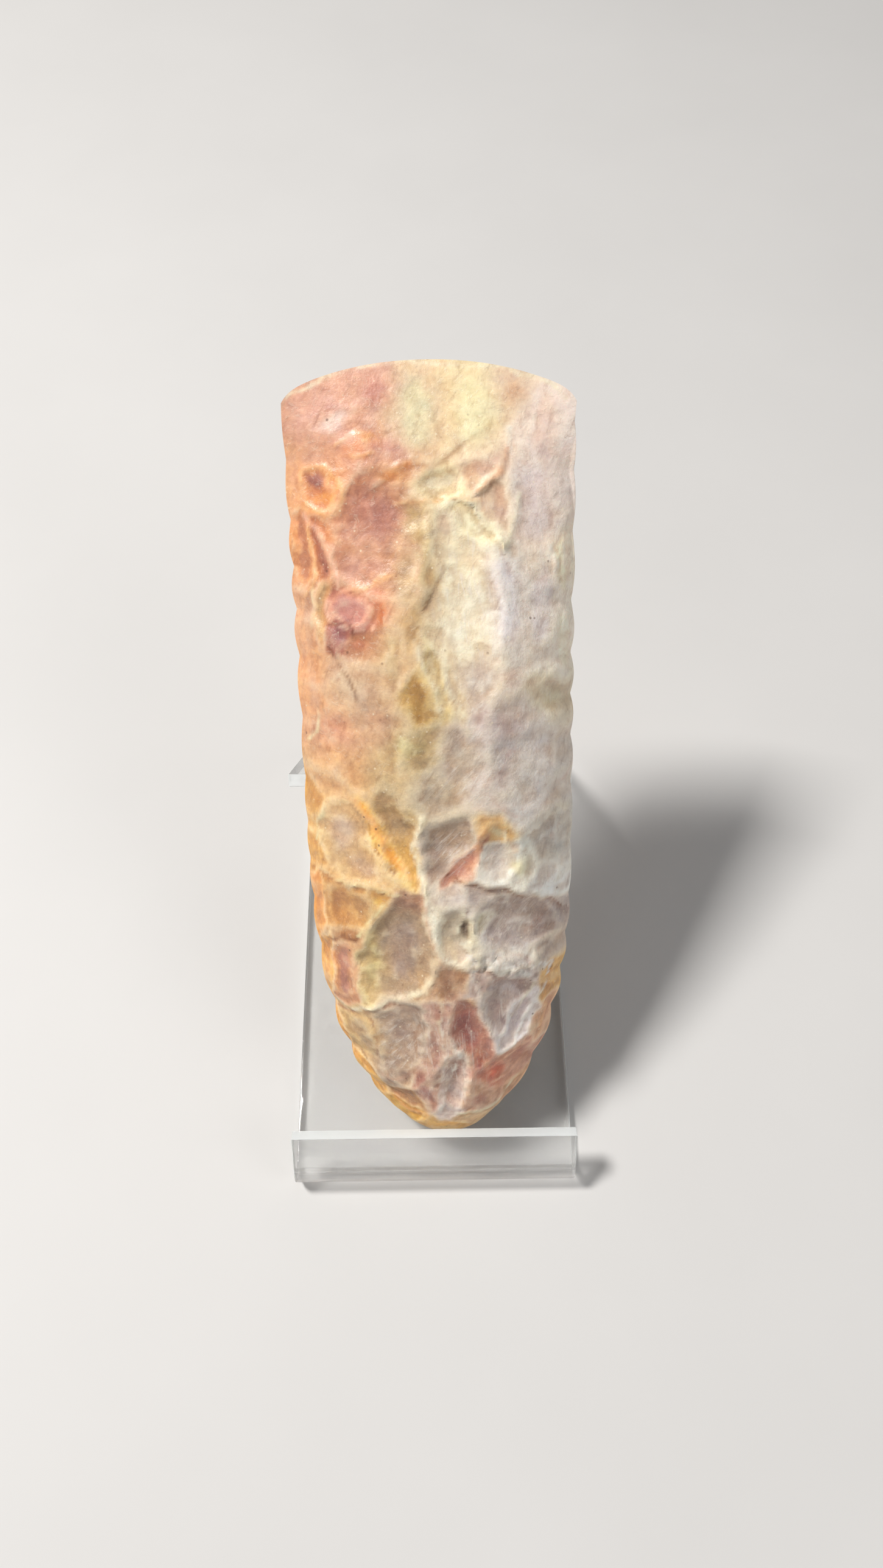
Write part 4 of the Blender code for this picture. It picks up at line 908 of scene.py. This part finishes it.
def stone_colours(points, ridge):
    """Colour of each point of the stone, and how streaky, how hatched and how chipped it is there."""
    x, along = points[:, 0] / MM, points[:, 1] / MM
    flat = list(zip(x, along))
    front = points[:, 2] >= 0
    colour = np.empty((len(points), 3))
    colour[:] = linear(PALETTE["tan"])
    area_x, area_a = wobble(x, along, 5, 1.6, 0.6)
    ragged = mottle(flat, RAGGED)
    line_x, line_a = wobble(x, along, 1)
    broken = line_breaks(x, along)

    def paint(mask, name):
        tint = np.array(linear(PALETTE[name]))
        colour[:] = colour * (1.0 - mask[:, None]) + tint * mask[:, None]

    def paint_areas(areas, here):
        for *oval, name, strength, softness in areas.values():
            paint(strength * here * area_share(area_x, area_a, *oval, softness, ragged), name)

    paint_areas(BACK_AREAS, ~front)
    tiles = Tiles(line_x, line_a)
    colour[front] = tiles.colour[front]
    paint_areas(SPOTS, front)
    tone = mottle(flat, TONE) * (1.0 - BLADE_CALM * smooth(*BLADE_CALMS, along))
    warm = WARMER + mottle(flat, WARMTH)
    colour *= BRIGHTER * np.stack([1.0 + tone + warm, 1.0 + tone, 1.0 + tone - warm], axis=-1)

    # Painted shade along the low side of each step, where its wall drops
    for line, _, _, name, strength in FRONT_STEPS.values():
        signed = line_distance(line_x, line_a, line)[1]
        paint(LINE_COVER * strength * front * broken * np.exp(-((signed - 0.3) / 0.5) ** 2), name)
    for half, _, name, strength, line in FRONT_LINES:
        cover = LINE_COVER * strength * front * broken
        cover = cover * line_shape(line_distance(line_x, line_a, line)[0], half)
        paint(np.minimum(cover, 1.0), name)
    # Painted highlight on the ridges between crisp facets and on the crests of the relief, painted shade in
    # its valleys
    ridge_highlight = tiles.ridges() * front * smooth(-0.25, 0.35, drift(flat, 4.0, 43))
    colour *= 1.0 + RIDGE_HIGHLIGHT_GAIN * ridge_highlight[:, None]
    paint(RIDGE_HIGHLIGHT_COVER * ridge_highlight, "pale_cream")
    paint(CREST_HIGHLIGHT_COVER * np.clip(ridge, 0.0, 1.0) * line_breaks(x + 40, along), "pale_cream")
    valley_painted_shade = np.clip(-ridge, 0.0, 1.0)[:, None] * (1.0 - np.array(linear(PALETTE["brown"])))
    colour *= 1.0 - VALLEY_SHADE * valley_painted_shade

    chipped = np.zeros(len(points))
    for chip_x, chip_a, wide, long, turn, depth in chips():
        share = front * area_share(x, along, chip_x, chip_a, wide * 0.8, long * 0.8, turn, CHIP_SOFTNESS)
        chipped = np.maximum(chipped, share)
        paint(0.85 * share * (depth > WHITE_CHIP), "white")
        paint(0.5 * share * (depth < DARK_CHIP), "dark_grey")
    streaky, hatched = (
        np.max([front * area_share(area_x, area_a, *area, 0, 0.7) for area in areas], axis=0)
        for areas in (STREAKY_AREAS, HATCHED_AREAS))
    return np.clip(colour, 0.0, 1.0), {"streaky": streaky, "hatched": hatched, "chipped": chipped}


def make_stone_mesh(place):
    """Two fine grids welded along the rim, as a closed mesh in the stone's own frame."""
    shape = bmesh.new()
    ridge_layer = shape.verts.layers.float.new("ridge")
    for face in (1, -1):
        points, ridge = stone_sheet(face, place.length)
        verts = bmesh.ops.create_grid(shape, x_segments=CELLS_ACROSS, y_segments=CELLS_ALONG,
                                      size=1.0)["verts"]
        for vert in verts:
            column = round((vert.co.x + 1.0) / 2 * CELLS_ACROSS)
            row = round((vert.co.y + 1.0) / 2 * CELLS_ALONG)
            vert.co = points[column, row]
            vert[ridge_layer] = ridge[column, row]
        if face < 0:
            faces = {near for vert in verts for near in vert.link_faces}
            bmesh.ops.reverse_faces(shape, faces=list(faces))
    bmesh.ops.remove_doubles(shape, verts=shape.verts, dist=WELD)
    mesh = bpy.data.meshes.new("flint_stone")
    shape.to_mesh(mesh)
    shape.free()
    return mesh


def keep_in_box(mesh, place, node):
    """Draws in whatever stands proud of the solid's box, by hundredths of a millimetre."""
    low, high = (np.array(corner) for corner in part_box(node))
    points = np.empty(len(mesh.vertices) * 3)
    mesh.vertices.foreach_get("co", points)
    turn = np.array(place.matrix.to_3x3())
    world = np.clip(points.reshape(-1, 3) @ turn.T + np.array(place.tip), low, high)
    points = (world - np.array(place.tip)) @ turn
    mesh.vertices.foreach_set("co", points.ravel())
    return points


class Nodes:
    """Short names for building a material's nodes."""

    def __init__(self, name):
        self.material = bpy.data.materials.new(name)
        self.material.use_nodes = True
        self.tree = self.material.node_tree
        self.shader = self.tree.nodes["Principled BSDF"]

    def new(self, kind, sockets=(), **values):
        node = self.tree.nodes.new(kind)
        for key, value in values.items():
            setattr(node, key, value)
        for socket, value in dict(sockets).items():
            self.set(node.inputs[socket], value)
        return node

    def set(self, socket, value):
        """Links an output to the socket, or sets a number or a colour on it."""
        if isinstance(value, bpy.types.NodeSocket):
            self.tree.links.new(value, socket)
        else:
            socket.default_value = (*value, 1.0) if socket.type == "RGBA" else value

    def shade(self, **sockets):
        for socket, value in sockets.items():
            self.set(self.shader.inputs[SOCKETS.get(socket, socket)], value)

    def attribute(self, name, output="Fac"):
        return self.new("ShaderNodeAttribute", attribute_name=name).outputs[output]

    def math(self, operation, first, second):
        return self.new("ShaderNodeMath", {0: first, 1: second}, operation=operation).outputs[0]

    def times(self, first, second):
        return self.math("MULTIPLY", first, second)

    def mix(self, share, first, second, blend="MIX"):
        return self.new("ShaderNodeMix", {0: share, 6: first, 7: second}, data_type="RGBA",
                        blend_type=blend).outputs[2]

    def noise(self, vector, scale, detail=3.0, roughness=0.55, distortion=0.0):
        sockets = {"Vector": vector, "Scale": scale, "Detail": detail, "Roughness": roughness,
                   "Distortion": distortion}
        return self.new("ShaderNodeTexNoise", sockets).outputs["Fac"]

    def span(self, value, low, high, out_low=0.0, out_high=1.0):
        sockets = {"Value": value, "From Min": low, "From Max": high, "To Min": out_low, "To Max": out_high}
        return self.new("ShaderNodeMapRange", sockets, interpolation_type="SMOOTHSTEP").outputs["Result"]

    def stretched(self, vector, scale, turn=0.0):
        """The vector with its features drawn out by the scale, along axes turned by the angle."""
        sockets = {"Vector": vector, "Scale": scale, "Rotation": (0.0, 0.0, math.radians(turn))}
        return self.new("ShaderNodeMapping", sockets, vector_type="TEXTURE").outputs["Vector"]

    def bump(self, height, strength, distance, normal=None):
        sockets = {"Height": height, "Strength": strength, "Distance": distance}
        if normal is not None:
            sockets["Normal"] = normal
        return self.new("ShaderNodeBump", sockets).outputs["Normal"]


def flint_material():
    """Ground flint: mottled, streaked and speckled colour under a soft gloss, a little translucent."""
    n = Nodes("polished flint")
    where = n.attribute("own_place", "Vector")
    colour = n.attribute("tint", "Color")
    layers = {}
    for name, (scale, detail, rough, twist, low, high, cover, tint, blend) in FLINT_LAYERS.items():
        layers[name] = n.span(n.noise(where, scale, detail, rough, twist), low, high)
        colour = n.mix(n.times(layers[name], cover), colour, linear(tint), blend)
    streaks = {}
    for name, (long, turn, scale, rough, twist, low, high) in FLINT_STREAKS.items():
        drawn = n.stretched(where, (1.0, long, 1.0), turn)
        streaks[name] = n.span(n.noise(drawn, scale, 4, rough, twist), low, high)
    streak = n.math("MAXIMUM", n.times(streaks["lengthwise"], n.attribute("streaky")),
                    n.times(streaks["aslant"], n.attribute("hatched")))
    colour = n.mix(n.times(streak, STREAK_COVER), colour, linear(STREAK_COLOUR))
    colour = n.mix(n.times(streaks["shade"], SHADE_COVER), colour, linear(SHADE_COLOUR), "MULTIPLY")
    for scale, outer, inner, spread, cover, tint in FLINT_DOTS.values():
        dots = n.new("ShaderNodeTexVoronoi", {"Vector": where, "Scale": scale}, feature="F1")
        dot = n.times(n.span(dots.outputs["Distance"], outer, inner),
                      n.span(n.noise(where, spread, 2), 0.50, 0.60))
        colour = n.mix(n.times(dot, cover), colour, linear(tint))

    rough = n.span(n.noise(where, 330, 5, 0.6), 0.30, 0.72, *FLINT_ROUGHNESS)
    rough = n.math("SUBTRACT", rough, n.times(n.attribute("chipped"), CHIP_GLOSS))
    ripple = n.new("ShaderNodeTexWave", {"Vector": where, "Scale": 60, "Distortion": 11.0, "Detail": 3.0,
                                         "Detail Scale": 1.4}, wave_type="BANDS", bands_direction="Y")
    normal = n.bump(ripple.outputs["Fac"], 0.30, 0.2 * MM)
    for height, strength, depth in (
            (n.noise(where, 420, 5, 0.62), 0.62, 0.3 * MM), (layers["wrinkle"], 0.35, 0.1 * MM),
            (streak, 0.22, 0.08 * MM), (layers["grain"], 0.20, 0.06 * MM)):
        normal = n.bump(height, strength, depth, normal)
    n.shade(base=colour, rough=rough, normal=normal, IOR=1.54, subsurface=0.10, radius=(1.0, 0.6, 0.4),
            subsurface_scale=0.8 * MM, coat=0.10, coat_rough=0.22)
    return n.material


def acrylic_material():
    n = Nodes("clear acrylic")
    where = n.new("ShaderNodeTexCoord").outputs["Object"]
    scuffs = n.noise(n.stretched(where, (1.0, 8.0, 1.0), 12), 800, 3, 0.7)
    n.shade(base=(0.97, 0.985, 0.985), clear=1.0, alpha=0.45, IOR=ACRYLIC_IOR,
            rough=n.span(scuffs, 0.58, 0.75, 0.015, 0.09),
            normal=n.bump(n.noise(where, 60, 2), 0.05, 0.2 * MM))
    return n.material


def cut_edge_material():
    """The sheet's cut edges: less clear and whiter, partly their satin finish and partly a painted stand-in
    for the bright edges that refraction gives, with the fine marks of the saw left under the polish.
    """
    n = Nodes("acrylic cut edge")
    where = n.new("ShaderNodeTexCoord").outputs["Object"]
    marks = n.noise(n.stretched(where, (12.0, 1.0, 1.0)), 1400, 3, 0.6)
    n.shade(base=(0.90, 0.94, 0.94), clear=0.45, alpha=0.85, IOR=ACRYLIC_IOR,
            rough=n.span(marks, 0.35, 0.70, 0.10, 0.20), normal=n.bump(marks, 0.05, 0.03 * MM))
    return n.material


def floor_material():
    n = Nodes("pale floor")
    where = n.new("ShaderNodeTexCoord").outputs["Object"]
    n.shade(base=n.mix(n.noise(where, 14, 4, 0.55), *map(linear, FLOOR_COLOURS)), rough=0.62,
            normal=n.bump(n.noise(where, 900, 3), 0.05, 0.1 * MM))
    return n.material


def add(name, data):
    thing = bpy.data.objects.new(name, data)
    bpy.context.scene.collection.objects.link(thing)
    return thing


def make_stone():
    place = StonePlace("flint_axe")
    mesh = make_stone_mesh(place)
    points = keep_in_box(mesh, place, "flint_axe")
    ridge = np.empty(len(mesh.vertices))
    mesh.attributes["ridge"].data.foreach_get("value", ridge)
    colour, grain = stone_colours(points, ridge)
    tint = mesh.color_attributes.new("tint", "FLOAT_COLOR", "POINT")
    tint.data.foreach_set("color", np.hstack([colour, np.ones((len(colour), 1))]).astype(np.float32).ravel())
    for name, values in grain.items():
        attribute = mesh.attributes.new(name, "FLOAT", "POINT")
        attribute.data.foreach_set("value", values.astype(np.float32))
    mesh.shade_smooth()
    mesh.set_sharp_from_angle(angle=math.radians(55))
    mesh.materials.append(flint_material())
    own_place = mesh.attributes.new("own_place", "FLOAT_VECTOR", "POINT")
    own_place.data.foreach_set("vector", points.astype(np.float32).ravel())
    mesh.transform(place.matrix)
    stone = add("flint_stone", mesh)
    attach(stone, "root")
    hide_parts("flint_axe")


def arc(centre, radius, start, end):
    steps = max(2, math.ceil(abs(end - start) / BEND_STEP))
    turns = [start + (end - start) * step / steps for step in range(steps + 1)]
    return [(centre[0] + radius * math.cos(turn), centre[1] + radius * math.sin(turn)) for turn in turns]


def make_stand():
    """One bent sheet: its outer line swept across, given its thickness, and eased at the corners."""
    low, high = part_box("acrylic_stand")
    outer_front = LIP_BEND + SHEET
    outer_rear = REST_BEND + SHEET
    front = (low.y + outer_front, outer_front)
    rear = (high.y - outer_rear, outer_rear)
    lip_foot = (front[0] - outer_front * math.sin(LIP_ANGLE), front[1] + outer_front * math.cos(LIP_ANGLE))
    lip_length = (LIP_HEIGHT - lip_foot[1]) / math.sin(LIP_ANGLE)
    rest_foot = (rear[0] + outer_rear * math.sin(REST_ANGLE), rear[1] + outer_rear * math.cos(REST_ANGLE))
    profile = [(lip_foot[0] + lip_length * math.cos(LIP_ANGLE), LIP_HEIGHT)]
    profile += arc(front, outer_front, math.pi / 2 + LIP_ANGLE, 3 * math.pi / 2)
    profile += arc(rear, outer_rear, -math.pi / 2, math.pi / 2 - REST_ANGLE)
    profile.append((rest_foot[0] - REST_LENGTH * math.cos(REST_ANGLE),
                    rest_foot[1] + REST_LENGTH * math.sin(REST_ANGLE)))
    shape = bmesh.new()
    line = [shape.verts.new((low.x, y, z)) for y, z in profile]
    edges = [shape.edges.new(pair) for pair in zip(line, line[1:])]
    swept = bmesh.ops.extrude_edge_only(shape, edges=edges)["geom"]
    moved = [item for item in swept if isinstance(item, bmesh.types.BMVert)]
    bmesh.ops.translate(shape, verts=moved, vec=(high.x - low.x, 0, 0))
    bmesh.ops.recalc_face_normals(shape, faces=shape.faces)
    down = sum(face.normal.z * face.calc_area() for face in shape.faces
               if abs(face.calc_center_median().z) < SHEET_EASE)
    if down > 0:
        bmesh.ops.reverse_faces(shape, faces=shape.faces)
    mesh = bpy.data.meshes.new("acrylic_sheet")
    shape.to_mesh(mesh)
    shape.free()
    sheet = add("acrylic_sheet", mesh)
    mesh.materials.append(acrylic_material())
    mesh.materials.append(cut_edge_material())
    thickness = sheet.modifiers.new("sheet", "SOLIDIFY")
    thickness.thickness = SHEET
    thickness.offset = -1.0
    thickness.use_even_offset = True
    thickness.material_offset_rim = 1
    ease = sheet.modifiers.new("eased corners", "BEVEL")
    ease.width = SHEET_EASE
    ease.segments = 3
    ease.limit_method = "ANGLE"
    ease.angle_limit = math.radians(40)
    solid = bpy.data.meshes.new_from_object(sheet.evaluated_get(bpy.context.evaluated_depsgraph_get()))
    sheet.modifiers.clear()
    sheet.data = solid
    solid.shade_smooth()
    solid.set_sharp_from_angle(angle=math.radians(28))
    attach(sheet, "root")
    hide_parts("acrylic_stand")


def make_floor():
    bpy.ops.mesh.primitive_plane_add(size=FLOOR_SIZE, location=(0, 0, -FLOOR_GAP))
    floor = bpy.context.object
    floor.name = "floor"
    floor.data.materials.append(floor_material())


def make_lights():
    """One soft key from the upper left that rakes over the relief, weak fills and a dim grey room."""
    for name, (place, size, power, colour) in LIGHTS.items():
        light = bpy.data.lights.new(name, "AREA")
        light.shape = "RECTANGLE"
        light.size, light.size_y = size
        light.energy = power
        light.color = colour
        lamp = add(name, light)
        lamp.location = place
        lamp.rotation_euler = (Vector(LIT_PLACE) - Vector(place)).to_track_quat("-Z", "Y").to_euler()
    world = bpy.data.worlds.new("studio")
    world.use_nodes = True
    background = world.node_tree.nodes["Background"].inputs
    background["Color"].default_value = ROOM_COLOUR
    background["Strength"].default_value = ROOM_LIGHT
    bpy.context.scene.world = world
    bpy.context.scene.view_settings.view_transform = "Standard"


def make_camera():
    """The picture's viewing angle: high over the lip, looking down along the stone."""
    pitch, yaw, roll = CAMERA_PITCH, CAMERA_YAW, CAMERA_ROLL
    turn = Matrix.Rotation(yaw, 3, "Z")
    forward = turn @ Vector((0, math.cos(pitch), -math.sin(pitch)))
    up = turn @ Vector((0, math.sin(pitch), math.cos(pitch)))
    right = turn @ Vector((1, 0, 0))
    right, up = (math.cos(roll) * right + math.sin(roll) * up,
                 math.cos(roll) * up - math.sin(roll) * right)
    data = bpy.data.cameras.new("camera")
    data.sensor_fit = "VERTICAL"
    data.sensor_height = SENSOR_HEIGHT_MM
    data.lens = SENSOR_HEIGHT_MM * FOCAL_PX / IMAGE_HEIGHT_PX
    data.clip_start = 0.01
    camera = add("camera", data)
    basis = Matrix((right, up, -forward)).transposed()
    camera.matrix_world = Matrix.Translation(Vector(CAMERA_PLACE)) @ basis.to_4x4()
    bpy.context.scene.camera = camera


make_camera()
make_lights()
make_floor()
make_stone()
make_stand()
